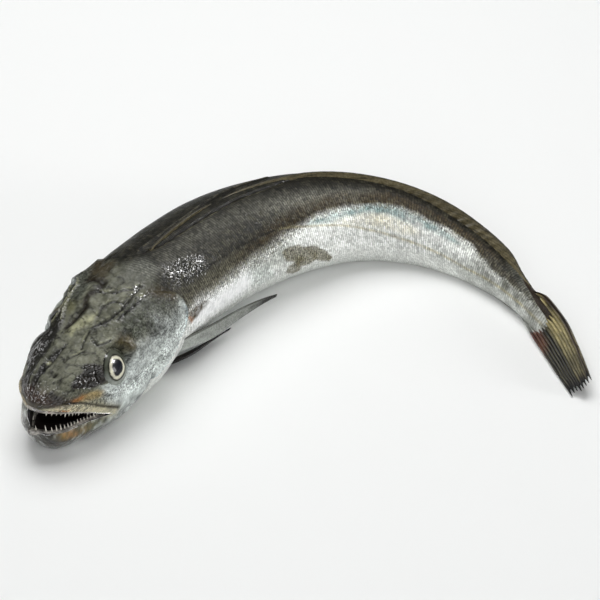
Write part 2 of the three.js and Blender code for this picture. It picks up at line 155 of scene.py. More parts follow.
def mainRelief(along, around):
    # gill cover standing proud, and the folds, each a bell across its path
    ahead = gillEdge(around) - along
    soft = fish["gillSoft"]
    step = ramp(ahead, -0.3 * soft, 0.7 * soft) * ramp(around, 24, 45) * ramp(ahead, 40, 8)
    total = fish["gillStep"] * step
    for high, wide, path in folds.values():
        total = total + high * bell(distanceTo(path, along, around), wide)
    return total


def snoutRounding(along):
    # quarter of an ellipse over the snout's length, cut off at its blunt face
    share = np.clip(1 - along / fish["snoutLength"], 0, 1)
    return np.sqrt(1 - share ** 2 * (1 - fish["snoutFace"] ** 2))


def jawFade(along):
    return np.clip(1 - along / fish["chinReach"], 0, 1) ** 1.5


def skinPoint(along, turn, extra=0):
    # superellipse round the middle line, rounded off at the snout; the lower jaw is pushed forward
    # by the chin and to the left by the swing
    rounding = snoutRounding(along)
    c, s, n = np.cos(np.radians(turn)), np.sin(np.radians(turn)), boxy(along)
    reach = rounding / (np.abs(c) ** n + np.abs(s) ** n) ** (1 / n)
    rise = np.where(c > 0, halfUp(along), halfDown(along))
    relief = (mainRelief(along, np.abs(turn)) + extra) * rounding
    jaw = ramp(-c, 0.2, 0.7) * jawFade(along) * rounding
    right = -(halfSide(along) * reach + relief) * s - fish["swing"] * jaw
    return np.stack([along - fish["chin"] * jaw, right, (rise * reach + relief) * c], -1)


def restingHeights():
    # the middle line's height, so that each part of the belly just rests on the table
    rows = stations[(stations[:, 0] > fish["snoutLength"]) & (stations[:, 0] < rest["tailFrom"]), 0]
    turns = -np.arange(90, 300, 3.0)
    a, t = np.meshgrid(rows, (turns + 180) % 360 - 180, indexing="ij")
    p, r = skinPoint(a, t), np.radians(lean(a))
    lowest = (p[..., 2] * np.cos(r) - p[..., 1] * np.sin(r)).min(1)
    heights = np.maximum(-lowest - fish["sag"], rest["tailHeight"])
    xs = np.concatenate([[0], rows, [rest["tailFrom"], fish["length"]]])
    ends = [heights[0] + rest["snoutLift"]], [rest["tailHeight"], rest["tipHeight"]]
    return smoothThrough(xs, np.concatenate([ends[0], heights, ends[1]]))


lift = restingHeights()


def lay(points):
    # the middle line is stepped out along its heading; each point then goes out, up and round
    along, right, up = np.moveaxis(np.asarray(points, float), -1, 0)
    step = 0.5
    a = np.radians(heading((np.arange(fish["length"] / step) + 0.5) * step))
    line = np.concatenate([[[0, 0]], np.cumsum(np.stack([np.cos(a), np.sin(a)], -1) * step, 0)])
    line = line - line[len(line) // 2]
    # ahead of the snout the line runs straight on
    stops = np.arange(len(line)) * step
    ahead = np.minimum(along, 0)
    at = np.clip(along, 0, fish["length"])
    a, r = np.radians(heading(along)), np.radians(lean(along))
    x = np.interp(at, stops, line[:, 0]) + ahead * np.cos(a)
    y = np.interp(at, stops, line[:, 1]) + ahead * np.sin(a)
    outward = up * np.sin(r) + right * np.cos(r)
    height = np.maximum(lift(along) + up * np.cos(r) - right * np.sin(r), 0)
    laid = [x - np.sin(a) * outward + rest["seatX"], y + np.cos(a) * outward + rest["seatY"], height]
    return np.stack(laid, -1) / 1000


def setInputs(tree, node, inputs):
    # each input takes a constant, or a link from another node's output
    for key, value in inputs.items():
        if isinstance(value, bpy.types.NodeSocket):
            tree.links.new(value, node.inputs[key])
        else:
            node.inputs[key].default_value = value


def addNode(tree, kind, inputs=None, **settings):
    node = tree.nodes.new("ShaderNode" + kind)
    for name, value in settings.items():
        setattr(node, name, value)
    setInputs(tree, node, inputs or {})
    return node


def linear(hexColour):
    # sRGB hex to linear light, with alpha
    parts = [int(hexColour[k:k + 2], 16) / 255 for k in (1, 3, 5)]
    return tuple(p / 12.92 if p <= 0.04045 else ((p + 0.055) / 1.055) ** 2.4 for p in parts) + (1.0,)


def mixTones(tones, masks):
    base = np.zeros(masks[0].shape + (3,)) + np.array(linear(tones[0])[:3])
    for tone, mask in zip(tones[1:], masks):
        base = blend(base, np.array(linear(tone)[:3]), np.clip(mask, 0, 1)[..., None])
    return base


def newMaterial(name):
    material = bpy.data.materials.new(name)
    material.use_nodes = True
    tree = material.node_tree
    return material, tree, tree.nodes["Principled BSDF"]


def newPiece(name, points, faces, material, uvs=None, colours=None, finishes=None, smooth=True):
    # points in metres; uvs one for each face corner; colours and finishes one for each point
    mesh = bpy.data.meshes.new(name)
    mesh.from_pydata(points.reshape(-1, 3).tolist(), [], [list(map(int, f)) for f in faces])
    mesh.polygons.foreach_set("use_smooth", np.full(len(mesh.polygons), smooth))
    if uvs is not None:
        layer = mesh.uv_layers.new(name="millimetres")
        layer.data.foreach_set("uv", uvs.astype(np.float32).ravel())
    for label, values in (("paint", colours), ("finish", finishes)):
        if values is not None:
            layer = mesh.attributes.new(label, "FLOAT_COLOR", "POINT")
            layer.data.foreach_set("color", values.astype(np.float32).ravel())
    for m in material if isinstance(material, list) else [material]:
        mesh.materials.append(m)
    mesh.validate()
    mesh.update()
    piece = bpy.data.objects.new(name, mesh)
    bpy.context.scene.collection.objects.link(piece)
    return piece


def turnOutwards(mesh):
    work = bmesh.new()
    work.from_mesh(mesh)
    bmesh.ops.recalc_face_normals(work, faces=work.faces)
    work.to_mesh(mesh)
    work.free()


def standFor(piece, node):
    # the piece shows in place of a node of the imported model
    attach(piece, "root")
    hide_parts(node)


def closedTube(rings, start, end):
    # points and faces of a tube of rings, closed by a fan to a pole point at each end
    rows, columns = rings.shape[:2]
    i, k = np.meshgrid(np.arange(rows - 1), np.arange(columns), indexing="ij")
    k1 = (k + 1) % columns
    quads = np.stack([i * columns + k, i * columns + k1, (i + 1) * columns + k1, (i + 1) * columns + k], -1)
    first = np.arange(columns)
    last = (rows - 1) * columns + first
    pole = np.full(columns, rows * columns)
    startFan = np.stack([pole, np.roll(first, -1), first], -1)
    endFan = np.stack([pole + 1, last, np.roll(last, -1)], -1)
    faces = quads.reshape(-1, 4).tolist() + startFan.tolist() + endFan.tolist()
    return np.concatenate([rings.reshape(-1, 3), [start, end]]), faces


def addPiece(name, points, faces, material, node="hake", slot="skin", **more):
    # a piece bent over the table with the body, which shows in place of a node
    piece = newPiece(name, lay(points), faces, material, **more)
    turnOutwards(piece.data)
    standFor(piece, node)


# camera and light are as in the photograph
view = {"distance": 1.5, "elevation": 40.38, "aim": (-0.00521, 0.00451, 0.025), "lens": 157.2}


def addCamera():
    data = bpy.data.cameras.new("camera")
    data.lens = view["lens"]
    data.clip_end = 20
    camera = bpy.data.objects.new("camera", data)
    e = math.radians(view["elevation"])
    x, y, z = view["aim"]
    camera.location = (x, y - view["distance"] * math.cos(e), z + view["distance"] * math.sin(e))
    camera.rotation_euler = (math.pi / 2 - e, 0, 0)
    bpy.context.scene.collection.objects.link(camera)
    bpy.context.scene.camera = camera


lights = {  # place, size and watts; each looks at the fish, and a glint lamp only shows in wet skin
    "overhead": {"place": (-0.15, 0.5, 1.4), "size": 1.1, "watts": 20},
    "frontFill": {"place": (-0.3, -1.3, 1.1), "size": 1.2, "watts": 9},
    "rightLow": {"place": (1.45, -0.3, 0.3), "size": 0.4, "watts": 7},
    "glintBack": {"place": (1.35, 0.25, 0.8), "size": 0.3, "watts": 26, "glint": True},
    "glintHead": {"place": (0.75, 0.45, 1.35), "size": 0.3, "watts": 9, "glint": True},
    "glintSnout": {"place": (-1.1, -0.5, 0.95), "size": 0.3, "watts": 9, "glint": True},
}


studio = {"world": "#f4f5f6", "strength": 0.12, "floor": "#f0f1f0", "halfFloor": 4.0}


def addLights():
    for name, light in lights.items():
        data = bpy.data.lights.new(name, "AREA")
        data.size = light["size"]
        data.energy = light["watts"]
        lamp = bpy.data.objects.new(name, data)
        lamp.location = light["place"]
        lamp.visible_diffuse = not light.get("glint", False)
        aim = -lamp.location
        lamp.rotation_euler = aim.to_track_quat("-Z", "Y").to_euler()
        bpy.context.scene.collection.objects.link(lamp)
    world = bpy.data.worlds.new("studio")
    world.use_nodes = True
    sky = {"Color": linear(studio["world"]), "Strength": studio["strength"]}
    setInputs(world.node_tree, world.node_tree.nodes["Background"], sky)
    bpy.context.scene.world = world
    bpy.context.scene.view_settings.view_transform = "Standard"


def addFloor():
    # painted board, sprayed matt: no sheen, only soft shadows
    material, tree, shader = newMaterial("mattPaintedBoard")
    colour = linear(studio["floor"])
    setInputs(tree, shader, {"Base Color": colour, "Roughness": 0.9, "Specular IOR Level": 0.1})
    half = studio["halfFloor"]
    corners = np.array([(-half, -half, 0), (half, -half, 0), (half, half, 0), (-half, half, 0)])
    floor = newPiece("floor", corners, [(0, 1, 2, 3)], material)


addCamera()
addLights()
addFloor()
print("stage: camera, lights and floor")

# the shape of the eye is shared by the ball and by the socket in the skin
# pupil, iris, ring and film are the outer radii of the ball's colours; -1 is the left eye, 1 the right
eye = {"along": 42.5, "radius": 10.9, "depth": 5.0, "cornea": 0.4, "narrow": 0.87,
       "rings": 30, "around": 96, "pupil": 4.8, "iris": 6.5, "ring": 7.4, "film": 9.6,
       "tones": ["#0a0e17", "#d8d5c0", "#24241d", "#4a4d43", "#1c1c18", "#8a8f88"],
       "lid": 0.9, "lidHeight": 0.35, "groove": 0.5, "swelling": 0.5, "spare": 1.6, "reach": 11,
       -1: {"turn": 55, "faces": 57.5, "proud": 0.7}, 1: {"turn": 70, "faces": 70, "proud": 0.0}}


def eyeFrame(side):
    # middle of the ball and the unit vectors out of the head, forward and upward; side -1 is left
    place = eye[side]
    risen = math.radians(90 - place["faces"])
    out = np.array([0, side * math.cos(risen), math.sin(risen)])
    forward = np.array([-1.0, 0, 0])
    over = np.cross(out, forward) * side
    skinAt = skinPoint(np.array(eye["along"]), np.array(-side * place["turn"] * 1.0))
    return skinAt + out * (place["proud"] - eye["depth"]), out, forward, over


def narrowed(forwards, upwards):
    # distance from the middle of the eye, in an oval that is narrow from up and front to low and back
    across, lengthwise = (forwards + upwards) / math.sqrt(2), (forwards - upwards) / math.sqrt(2)
    return np.hypot(across / eye["narrow"], lengthwise)


def eyeSurface(r):
    # height of the ball over its middle: a flattened dome with a bulging cornea
    dome = eye["depth"] * np.sqrt(np.clip(1 - (r / eye["radius"]) ** 2, 0, 1))
    return dome + eye["cornea"] * np.exp(-(r / eye["iris"]) ** 4)


# rows and columns of points, with the rows closer together on the head; size and depth of a scale in mm
skin = {"headRows": 172, "headEnd": 112, "trunkRows": 196, "columns": 256, "scale": 1.6, "scaleDepth": 0.2}

# finer creases of the head: height, width, path of (along, turn), alike on both sides
creases = {
    "gillRim": (0.7, 1.1, [(100, 52), (103, 60), (104, 73), (101, 84), (89.5, 92), (73, 99), (61, 105)]),
    "lipCrease": (-1.0, 0.9, [(9, 72), (12, 76), (19, 89), (29, 100.5), (38, 108)]),
    "preopercle": (-0.9, 0.9, [(72.5, 50), (73, 63.5), (74, 79), (72, 89), (64.5, 95), (62.5, 118)]),
    "cheekFold": (-0.6, 1.0, [(44, 72), (56, 70), (66, 64)]),
    "cheekFoldLow": (-0.5, 0.9, [(36, 88), (48, 90), (58, 84)]),
    "jawFold": (-0.8, 1.1, [(41, 117), (50, 122), (60, 124), (70, 122)]),
    "throatFold": (-0.8, 1.3, [(14, 150), (30, 148), (48, 142), (62, 132)]),
    "nostrilFront": (-1.3, 0.9, [(15.5, 11), (17, 12.5)]),
    "nostrilBack": (-1.5, 1.0, [(28, 32), (29.5, 33.5)]),
    "gillSeam": (-0.5, 0.8, [(98, 52), (92, 60), (84, 66), (78, 76)]),
}

# the same, where a fold lies on one side only: + is left, - right
folded = {
    "napeFlap": (1.5, 0.9, [(83.5, -38), (81, -45), (80, -52)]),
    "napeNotch": (-1.4, 1.4, [(76.5, -40), (75, -54)]),
    "flapFold": (1.1, 0.7, [(79, -44), (72.5, -35), (66, -35.5), (59, -35), (50, -30)]),
    "flapFoldLow": (0.9, 0.6, [(72, -42), (65, -38.5), (59, -39), (53, -37), (48, -40)]),
    "vBand": (-0.8, 1.7, [(78, -24), (77.5, -12), (72, -11.5), (66, -16), (59, -12.5), (52, -15.5),
                          (47, -20.5)]),
    "paleRidge": (0.8, 2.4, [(62, -6), (55, -5), (47, -10), (42, -14)]),
    "uCrease": (-0.9, 0.6, [(59.3, 4), (64, 2.5), (68, 5.5), (70.4, 10), (70.4, 17)]),
    "longCrease": (-0.8, 0.55, [(72, -11.5), (73.4, -1), (75.6, 4.5), (79.7, 10.5), (83, 17), (88, 19)]),
    "wetCrease": (-1.1, 0.7, [(88, 21), (80.6, 19.5), (74, 21), (68, 20.5), (60, 17), (57, 14.5),
                              (51, 6.5)]),
    "wetRidge": (0.8, 1.1, [(84, 24), (78, 23.5), (72, 23.8), (65, 22)]),
    "wetCreaseLow": (-0.8, 0.6, [(88, 31), (82, 28.5), (77, 27.5), (70, 26), (62, 23)]),
    "squiggle": (-0.8, 0.55, [(48.4, 7), (45.4, 8), (41.6, 9), (37.5, 13)]),
    "squiggleLow": (-0.7, 0.55, [(37, 17), (33, 14), (31, 11.5)]),
    "browCrease": (-0.8, 0.6, [(50.4, 30), (46, 27), (43.7, 23.5), (45, 16.5)]),
    "bandOne": (-0.9, 2.3, [(43, -34), (30, -31), (21.5, -32), (13.7, -34)]),
    "bandTwo": (-1.0, 2.2, [(37.5, -7.5), (31, -9.5), (24, -10), (20, -12), (14, -16), (7, -18)]),
    "bandRidge": (0.9, 1.5, [(33, -16), (25, -20), (17, -24), (9, -27)]),
    "patchRidge": (0.7, 1.0, [(33, 36), (25, 40), (18, 44)]),
    "snoutCrease": (-0.8, 0.9, [(14, 22), (11, 34), (12.5, 46)]),
    "closedLips": (-1.6, 1.1, [(0.5, -107), (8, -105), (16, -105), (26, -108), (34, -111)]),
    "finLine": (0.9, 0.8, [(107, -8.5), (117, -7), (130, -5.5), (150, -4.5), (166, -7), (184, -11),
                           (212, -15)]),
    "finGroove": (-0.9, 0.8, [(108, -3), (119, 5), (135, 8.5), (152, 11), (168, 12), (188, 11.5),
                              (207, 9.5), (226, 2)]),
}


wrinkles = [(9, 0.6, 11), (4.5, 0.4, 15), (2.6, 0.22, 19)]  # size, depth and seed of each kind


def fineRelief(along, turn, degreeLength):
    # creases, folds, ridged noise like wrinkled leather, and the flank's gentle unevenness
    around = np.abs(turn)
    total = np.zeros_like(along)
    for group, across in ((creases, around), (folded, turn)):
        for high, wide, path in group.values():
            total += high * bell(distanceTo(path, along, across, degreeLength), wide)
    u, v = along, turn * degreeLength
    head = ramp(along, 112, 88)
    smooth = ramp(around, 70, 90)
    total += head * (0.5 * clouds(u, v, 13, 1) + 0.15 * clouds(u, v, 3.5, 5))
    for size, deep, seed in wrinkles:
        total -= head * deep * (1 - 0.6 * smooth) * (1 - np.abs(clouds(u, v * 1.3, size, seed))) ** 5
    total += 0.22 * (1 - head) * clouds(u, v * 0.6, 26, 9)
    # the folded fins lie as a low flap between their line and their groove
    line, groove = folded["finLine"][2], folded["finGroove"][2]
    top, low = (np.interp(along, *np.array(path).T) for path in (line, groove))
    flap = ramp(turn, top - 1, top + 1) * ramp(turn, low, low - 2) * ramp(along, 106, 114) * (along < 228)
    return total + 0.5 * flap


def sinkSockets(points):
    # the skin dips below each eyeball, and closes on it with a thin lid and a soft swelling outside that
    lid = eye["radius"] - eye["lid"]
    for side in (-1, 1):
        centre, out, forward, over = eyeFrame(side)
        offset = points - centre
        height = offset @ out
        r = np.linalg.norm(offset - height[..., None] * out, axis=-1)
        oval = narrowed(offset @ forward, offset @ over)
        near = height > -eye["reach"]
        ball = eyeSurface(np.minimum(r, eye["radius"]))
        dip = ramp(oval, lid + 0.2, lid - 0.9) * near
        moved = blend(height, np.minimum(ball - eye["spare"], height), dip)
        # the lid lies on the ball, and the ball stays covered outside it
        onLid = bell(oval - lid - 0.7, 0.9) * near * (1 - dip)
        moved = blend(moved, ball + eye["lidHeight"], onLid)
        moved = moved - eye["groove"] * bell(oval - lid - 2.6, 0.9) * near
        moved = moved + eye["swelling"] * bell(oval - lid - 5.0, 1.8) * near
        covered = (oval > lid) & (r < eye["radius"] + 0.8) & near
        moved = np.where(covered, np.maximum(moved, ball + 0.3), moved)
        points = points + (moved - height)[..., None] * out
    return points


def degreeLengthAt(along):
    # mm along the skin for a degree round, from the mean of the half sizes
    return (halfUp(along) + halfDown(along) + 2 * halfSide(along)) / 4 * math.pi / 180


# The mouth: both lips run to its corner, seen from the side; hollow is the start and end of the space
# behind them, and its half height in front and at the back
mouth = {"corner": (34.5, -14), "upper": -1.2, "lower": -13.8, "rightWall": 6.5, "lip": 4.2,
         "hollow": (1.5, 40, 9.5, 6.5)}
upperLipAt, lowerLipAt = (
    smoothThrough([-fish["chin"], 0, mouth["corner"][0]], [mouth[lip], mouth[lip], mouth["corner"][1]])
    for lip in ("upper", "lower"))


def rightReach(along):
    # a wall of skin closes the gape on the right
    lipSide = halfSide(along) * snoutRounding(along + fish["chin"])
    return np.maximum(lipSide - mouth["rightWall"] - fish["swing"] * jawFade(along), 0.5)


def gapeCutter(material):
    # wedge between the lips: an outline in (along, up) carried across from the right wall to the left
    along = blend(-fish["chin"] - 3, mouth["corner"][0], np.linspace(0, 1, 40))
    upper = np.stack([along, upperLipAt(along)], -1)
    lower = np.stack([along, lowerLipAt(along)], -1)[::-1][1:]
    outline = np.concatenate([upper, lower])
    n = len(outline)
    across = np.concatenate([rightReach(outline[:, 0]), np.full(n, -60.0)])
    points = np.stack([np.tile(outline[:, 0], 2), across, np.tile(outline[:, 1], 2)], -1)
    k = np.arange(n)
    k1 = (k + 1) % n
    faces = [k[::-1], n + k] + np.stack([k, k1, n + k1, n + k], -1).tolist()
    return newPiece("gapeCutter", points, faces, material, smooth=False)


def hollowCutter(material):
    # the hollow behind the lips: rings round the line between them, rounded at both ends
    start, end, front, back = mouth["hollow"]
    t = np.linspace(0, 1, 24)[:, None]
    a = np.linspace(0, 2 * np.pi, 48, endpoint=False)[None, :]
    along = blend(start, end, t) + 0 * a
    size = np.sqrt(np.sin(np.pi * blend(0.06, 0.97, t)))
    wide = (halfSide(along) * snoutRounding(along + mouth["lip"]) - mouth["lip"]) * size
    tall = blend(front, back, t) * size
    middle = (upperLipAt(along) + lowerLipAt(along)) / 2
    swung = -fish["swing"] * jawFade(along) / 2
    rings = np.stack([along, swung + wide * np.sin(a), middle + tall * np.cos(a)], -1)
    poles = [(x, swung[k, 0], middle[k, 0]) for x, k in ((start - 0.5, 0), (end + 1, -1))]
    points, faces = closedTube(rings, *poles)
    return newPiece("hollowCutter", points, faces, material, smooth=False)


def carve(body, cutters):
    for cutter in cutters:
        turnOutwards(cutter.data)
        cut = body.modifiers.new("cut", "BOOLEAN")
        cut.operation = "DIFFERENCE"
        cut.solver = "MANIFOLD"
        cut.object = cutter
        cut.material_mode = "TRANSFER"
    bpy.context.view_layer.update()
    graph = bpy.context.evaluated_depsgraph_get()
    carved = bpy.data.meshes.new_from_object(body.evaluated_get(graph))
    body.modifiers.clear()
    body.data = carved
    for cutter in cutters:
        bpy.data.objects.remove(cutter)
    return body


# paint: colours laid over each other with soft masks, on the unrolled skin
paints = {
    "back": "#1c1b15", "backSpeck": "#424035", "sheen": "#64635a", "brown": "#352c1b",
    "silver": "#e0e2de", "belly": "#e4e6e2", "blue": "#7f918f", "cream": "#f0ecd8", "paintedHighlight": "#fafbfb",
    "flank": "#5b584a", "headGrey": "#6c6d5e", "headPale": "#acac8b", "headOlive": "#66643f",
    "dark": "#0c0a06", "brownBlack": "#181008", "cheek": "#bcc2bf", "cheekDark": "#474a42",
    "olive": "#4d4427", "lipPale": "#d2caac", "orange": "#8e5a2b", "ochre": "#9c8552", "rust": "#3f3320",
    "snout": "#38241b", "chin": "#56534b", "blotch": "#6b6651", "lineDark": "#100e09",
    "lineYellow": "#a59a70", "membrane": "#b8c8cc", "finLine": "#6a6552", "tailDark": "#2a2118",
    "tailOlive": "#7d744c", "tailRed": "#633527", "shoulder": "#66675f", "streak": "#c0c6c2",
    "silverRear": "#9fa29c",
}
# the silver of the flank begins at this turn
silverTop = smoothThrough(
    [60, 110, 124, 142, 160, 175, 190, 201, 211, 224, 247, 267, 286, 300, 317, 333, 342,
     350, 358, 368, 385, 414],
    [90, 79, 83, 84, 84, 84, 81, 75, 73, 68, 63, 60, 55, 54, 55, 56, 62, 70, 76, 74, 66, 46])
# its scales end here, at the root of the tail fin
scalesEnd = smoothThrough([0, 20, 33, 52, 66, 87, 130, 160, 180],
                          [372, 376, 383, 393, 404, 410, 409, 402, 398])
lateralLine = [(97, 35), (102, 40.5), (112, 48.5), (123, 52), (134, 55.5), (158, 59.5), (176, 62),
               (190, 63.5), (202, 66), (217, 73), (245, 84), (267, 95), (290, 103.5), (317, 109),
               (341, 115), (361, 110), (377, 106.5), (408, 100)]
zones = {  # outlines of (along, turn) on the unrolled skin
    "paleTop": [(42, -16), (47, -17), (52, -10.5), (58, -2), (60, 2), (54, 2), (47, -3), (42, -9)],
    "paleRight": [(63, -34), (62, -23), (57, -23.5), (53, -26), (57, -33)],
    "oliveRight": [(49, -42), (49, -29), (44, -33), (43, -41)],
    "bandRight": [(51.5, -28), (39, -24.5), (28, -24), (21, -26.5), (13, -26), (7, -30), (5, -45),
                  (14, -50), (30, -52), (43, -54), (57, -52), (60, -42)],
    "bandTop": [(38, -7), (31, -6), (24, -5.5), (18, -8), (12, -12), (6, -12), (2, -20), (2, -32),
                (8, -26), (14, -22), (20, -18), (25, -15), (31, -12), (37, -9)],
    "beforeEye": [(30, 30), (35, 39), (35.5, 55), (32, 66), (26, 66), (21, 60), (17, 50), (16, 44),
                  (19, 38), (24, 36)],
    "ochre": [(14, 73), (19, 69), (25, 70), (31, 78), (30, 88), (22, 86), (15, 80)],
    "cheekDark": [(58, 30), (66, 22), (76, 22), (86, 33), (93, 44), (98, 55), (98, 68), (92, 75),
                  (84, 77), (78, 74), (75, 66), (73, 58), (69, 50), (62, 49), (58, 44)],
    "olive": [(50, 34), (56, 33), (60, 40), (61, 50), (60, 57), (55, 55), (53.5, 46), (51, 40)],
    "nape": [(75, -30), (80, -12), (88, -16), (96, -20), (94, -30), (84, -34)],
    "shoulder": [(80, -4), (86, 16), (94, 26), (104, 22), (104, 4), (94, -6)],
    "blue": [(217, 72), (235, 68), (257, 62), (277, 56), (290, 55), (308, 57), (322, 62), (330, 69),
             (322, 77), (308, 74), (292, 75), (277, 69), (257, 75), (235, 77)],
    "cream": [(242, 78), (257, 75), (277, 70), (292, 76), (305, 84), (302, 95), (290, 97), (277, 92),
              (257, 88), (245, 84)],
    "blotch": [(196, 93), (199, 89), (204, 90.5), (208.5, 91.5), (216, 98), (223, 99.5), (231, 109),
               (239, 125), (237, 134), (230, 126), (225, 121), (219, 125), (213, 123), (213, 130),
               (207, 131), (200, 122), (201, 114), (206, 110), (199, 103)],
    "streak": [(150, 92), (170, 94), (184, 100), (190, 118), (178, 122), (164, 106), (152, 99)],
    "rust": [(107, 80), (113, 80), (121, 83), (126, 88), (121, 93), (117, 92), (113, 97), (108, 92)],
}
topZones = [  # zone, colour, strength and softness, in the order in which they cover each other
    ("shoulder", "shoulder", 0.8, 4), ("nape", "brown", 0.8, 2), ("paleTop", "headPale", 0.85, 2),
    ("paleRight", "headOlive", 0.5, 2), ("oliveRight", "headOlive", 0.8, 1.5),
    ("bandRight", "dark", 0.93, 1.2), ("bandTop", "dark", 0.93, 0.9),
]
creasePaths = {name: crease[2] for name, crease in {**creases, **folded}.items()}
creasesWithPaintedShade = ["uCrease", "longCrease", "wetCrease", "wetCreaseLow", "squiggle", "squiggleLow",
               "browCrease"]
wetCreases = ["wetCrease", "wetCreaseLow", "longCrease", "uCrease", "flapFold", "browCrease"]
snoutPath = [(3, 0), (4, 40), (8, 66)]


def zone(name, place, soft=1.2):
    # 1 inside the outline, 0 outside it, over a soft edge: the parity of the sides crossed, and the
    # distance to the nearest side
    along, turn = place
    outline = zones[name] + zones[name][:1]
    inside = np.zeros(along.shape, bool)
    for (a0, t0), (a1, t1) in zip(outline, outline[1:]):
        crosses = (t0 > turn) != (t1 > turn)
        at = a0 + (turn - t0) * (a1 - a0) / np.where(t1 == t0, 1, t1 - t0)
        inside ^= crosses & (along < at)
    d = distanceTo(outline, along, turn) * np.where(inside, 1, -1)
    return ramp(d, -soft, soft)


def paintSkin(along, turn):
    # the colour, and the finish: scaliness, silver, wetness and speckle
    dl = degreeLengthAt(along)
    u, v = along, turn * dl
    rough, fine = clouds(u, v, 7, 21), clouds(u, v, 2.4, 31)
    wide, mottle = clouds(u, v * 1.5, 30, 41), clouds(u + 31, v, 4.2, 95)
    # places on the skin: sharp, or shaken so that no edge runs straight, and on one side or alike on both
    a = along + 1.1 * clouds(u, v, 5, 51) + 0.5 * fine
    t = turn + 2.0 * clouds(u + 90, v, 5, 55) + 1.2 * clouds(u, v + 70, 2.4, 59)
    around, r = np.abs(turn), np.abs(t)
    sharp, sharpBoth, shaken, both = (along, turn), (along, around), (a, t), (a, r)
    colour = {name: np.array(linear(value)[:3]) for name, value in paints.items()}
    base = np.zeros(along.shape + (3,)) + colour["back"]

    def cover(name, mask):
        nonlocal base
        base = blend(base, colour[name], np.clip(mask, 0, 1)[..., None])

    def stroke(place, width, path, shift=(0, 0)):
        # soft brush stroke along a path, or along the crease of that name
        path = creasePaths[path] if isinstance(path, str) else path
        return bell(distanceTo(path, place[0] + shift[0], place[1] + shift[1], dl), width)

    def brush(name, strength, place, width, path, patches=None, shift=(0, 0)):
        # a stroke of colour, whole or broken into patches
        mask = strength * stroke(place, width, path, shift)
        cover(name, mask if patches is None else mask * ramp(fine + rough, *patches))

    # back and flank
    top = silverTop(along)
    front = ramp(along, 225, 190)
    rear = ramp(along, 270, 330)
    # painted sheen: a greyer band along the back, where it mirrors the overhead lamp
    band = 22 + 24 * ramp(along, 110, 250)
    lit = ramp(along, 96, 112) * (0.42 + 0.68 * ramp(along, 175, 225)) * ramp(along, 350, 270)
    cover("backSpeck", 0.45 * ramp(fine, 0, 0.5))
    cover("sheen", bell(t - band, 12) * lit)
    cover("brown", ramp(r, top - 30, top - 16) * (0.75 + 0.4 * rough) * ramp(along, 128, 160))
    cover("brown", 0.8 * bell(r - 39, 11) * ramp(along, 262, 282) * ramp(along, 365, 345))
    cover("flank", 0.9 * ramp(r, 47, 58) * ramp(along, 175, 140))
    silverMask = ramp(r + 9 * rough * rear, top - 8 - 5 * front, top + 8 + 8 * front + 5 * rear)
    cover("silver", silverMask)
    cover("belly", ramp(r, top + 28, top + 60))
    greyer = ramp(along, 285, 370) + 0.8 * rear * ramp(r, top + 26, top + 12)
    cover("silverRear", (0.5 + 0.6 * rough) * silverMask * np.clip(greyer, 0, 1))
    brush("silverRear", 0.75 * (1 + rough), shaken, 7, [(172, 92), (184, 97), (198, 92)])
    brush("shoulder", 0.6 * (1 + rough), shaken, 5, [(350, 84), (372, 84), (386, 76), (396, 72)])
    cover("blue", (0.75 + 0.6 * rough + 0.4 * fine) * zone("blue", shaken, 3.2))
    cover("cream", (0.6 + 0.5 * rough + 0.3 * fine) * zone("cream", shaken, 3.2))
    cover("streak", 0.7 * zone("streak", shaken, 3))
    # painted highlight: a near-white stroke on the lower front flank, where the silver would mirror the
    # bright table; the scales, silver and speckle are lessened under it
    paintedHighlight = 1.15 * stroke(shaken, 7, [(116, 92), (125, 96), (136, 101), (148, 104), (160, 103)])
    paintedHighlight = np.clip(paintedHighlight, 0, 1)
    cover("paintedHighlight", paintedHighlight)
    cover("blotch", (0.8 + 0.3 * rough) * zone("blotch", shaken, 1.1))
    # head
    edge = gillEdge(around)
    onBack = ramp(r, 42, 30)
    head = ramp(a, edge + 1, edge - 1) * (1 - onBack) + ramp(a, 100, 84) * onBack
    cover("headGrey", head * (1 + 0.3 * rough))
    cover("cheek", head * ramp(r, 49 + 18 * ramp(along, 52, 34), 68) * ramp(a, 26, 36))
    for name, strength in (("cheekDark", 0.8 - 0.35 * ramp(r, 50, 68)), ("olive", 0.9), ("ochre", 0.6)):
        cover(name, strength * zone(name, both, 2.2))
    paintedWrinkleShade = (1 - np.abs(clouds(u, v * 1.2, 8, 83))) ** 14 + 0.7 * (1 - np.abs(clouds(u, v, 4.5, 87))) ** 16
    for name, tone, strength, soft in topZones:
        cover(tone, strength * zone(name, shaken, soft))
    brush("brownBlack", 0.8, shaken, 3.2, [(50, -33), (60, -38), (72, -36)], (-0.2, 0.2))
    brush("headPale", 0.8, shaken, 0.9, [(20.5, -13), (21.5, -11.5)])
    brush("brownBlack", 0.95, shaken, 2.0, "vBand")
    brush("dark", 0.85, shaken, 3.4, [(13, 1), (19, 4), (25, 3)], (0, 0.3))
    # painted highlight along each flap fold, and painted shade just beside it
    for name in ("flapFold", "flapFoldLow"):
        brush("headPale", 0.6, sharp, 0.6, name)
        brush("dark", 0.8, sharp, 0.8, name, shift=(0, 3))
    cover("brownBlack", 0.97 * zone("beforeEye", both, 1.0))
    # painted shade darkens each of these creases along its floor, with a broken painted highlight on the
    # ridge beside it
    for name in creasesWithPaintedShade:
        brush("dark", 0.95, sharp, 0.65, name)
        brush("headPale", 0.3 * ramp(fine, -0.1, 0.3), sharp, 0.5, name, shift=(-0.7, 2.4))
    # painted shade in the nostrils and along the lip crease
    for name in ("nostrilFront", "nostrilBack", "lipCrease"):
        brush("dark", 0.9, sharpBoth, 1.0, name)
    # painted shade: thin dark lines like the shade in fine wrinkles, over the head, fainter low down its
    # sides
    cover("dark", 0.75 * paintedWrinkleShade * head * (1 - 0.7 * ramp(r, 62, 78)))
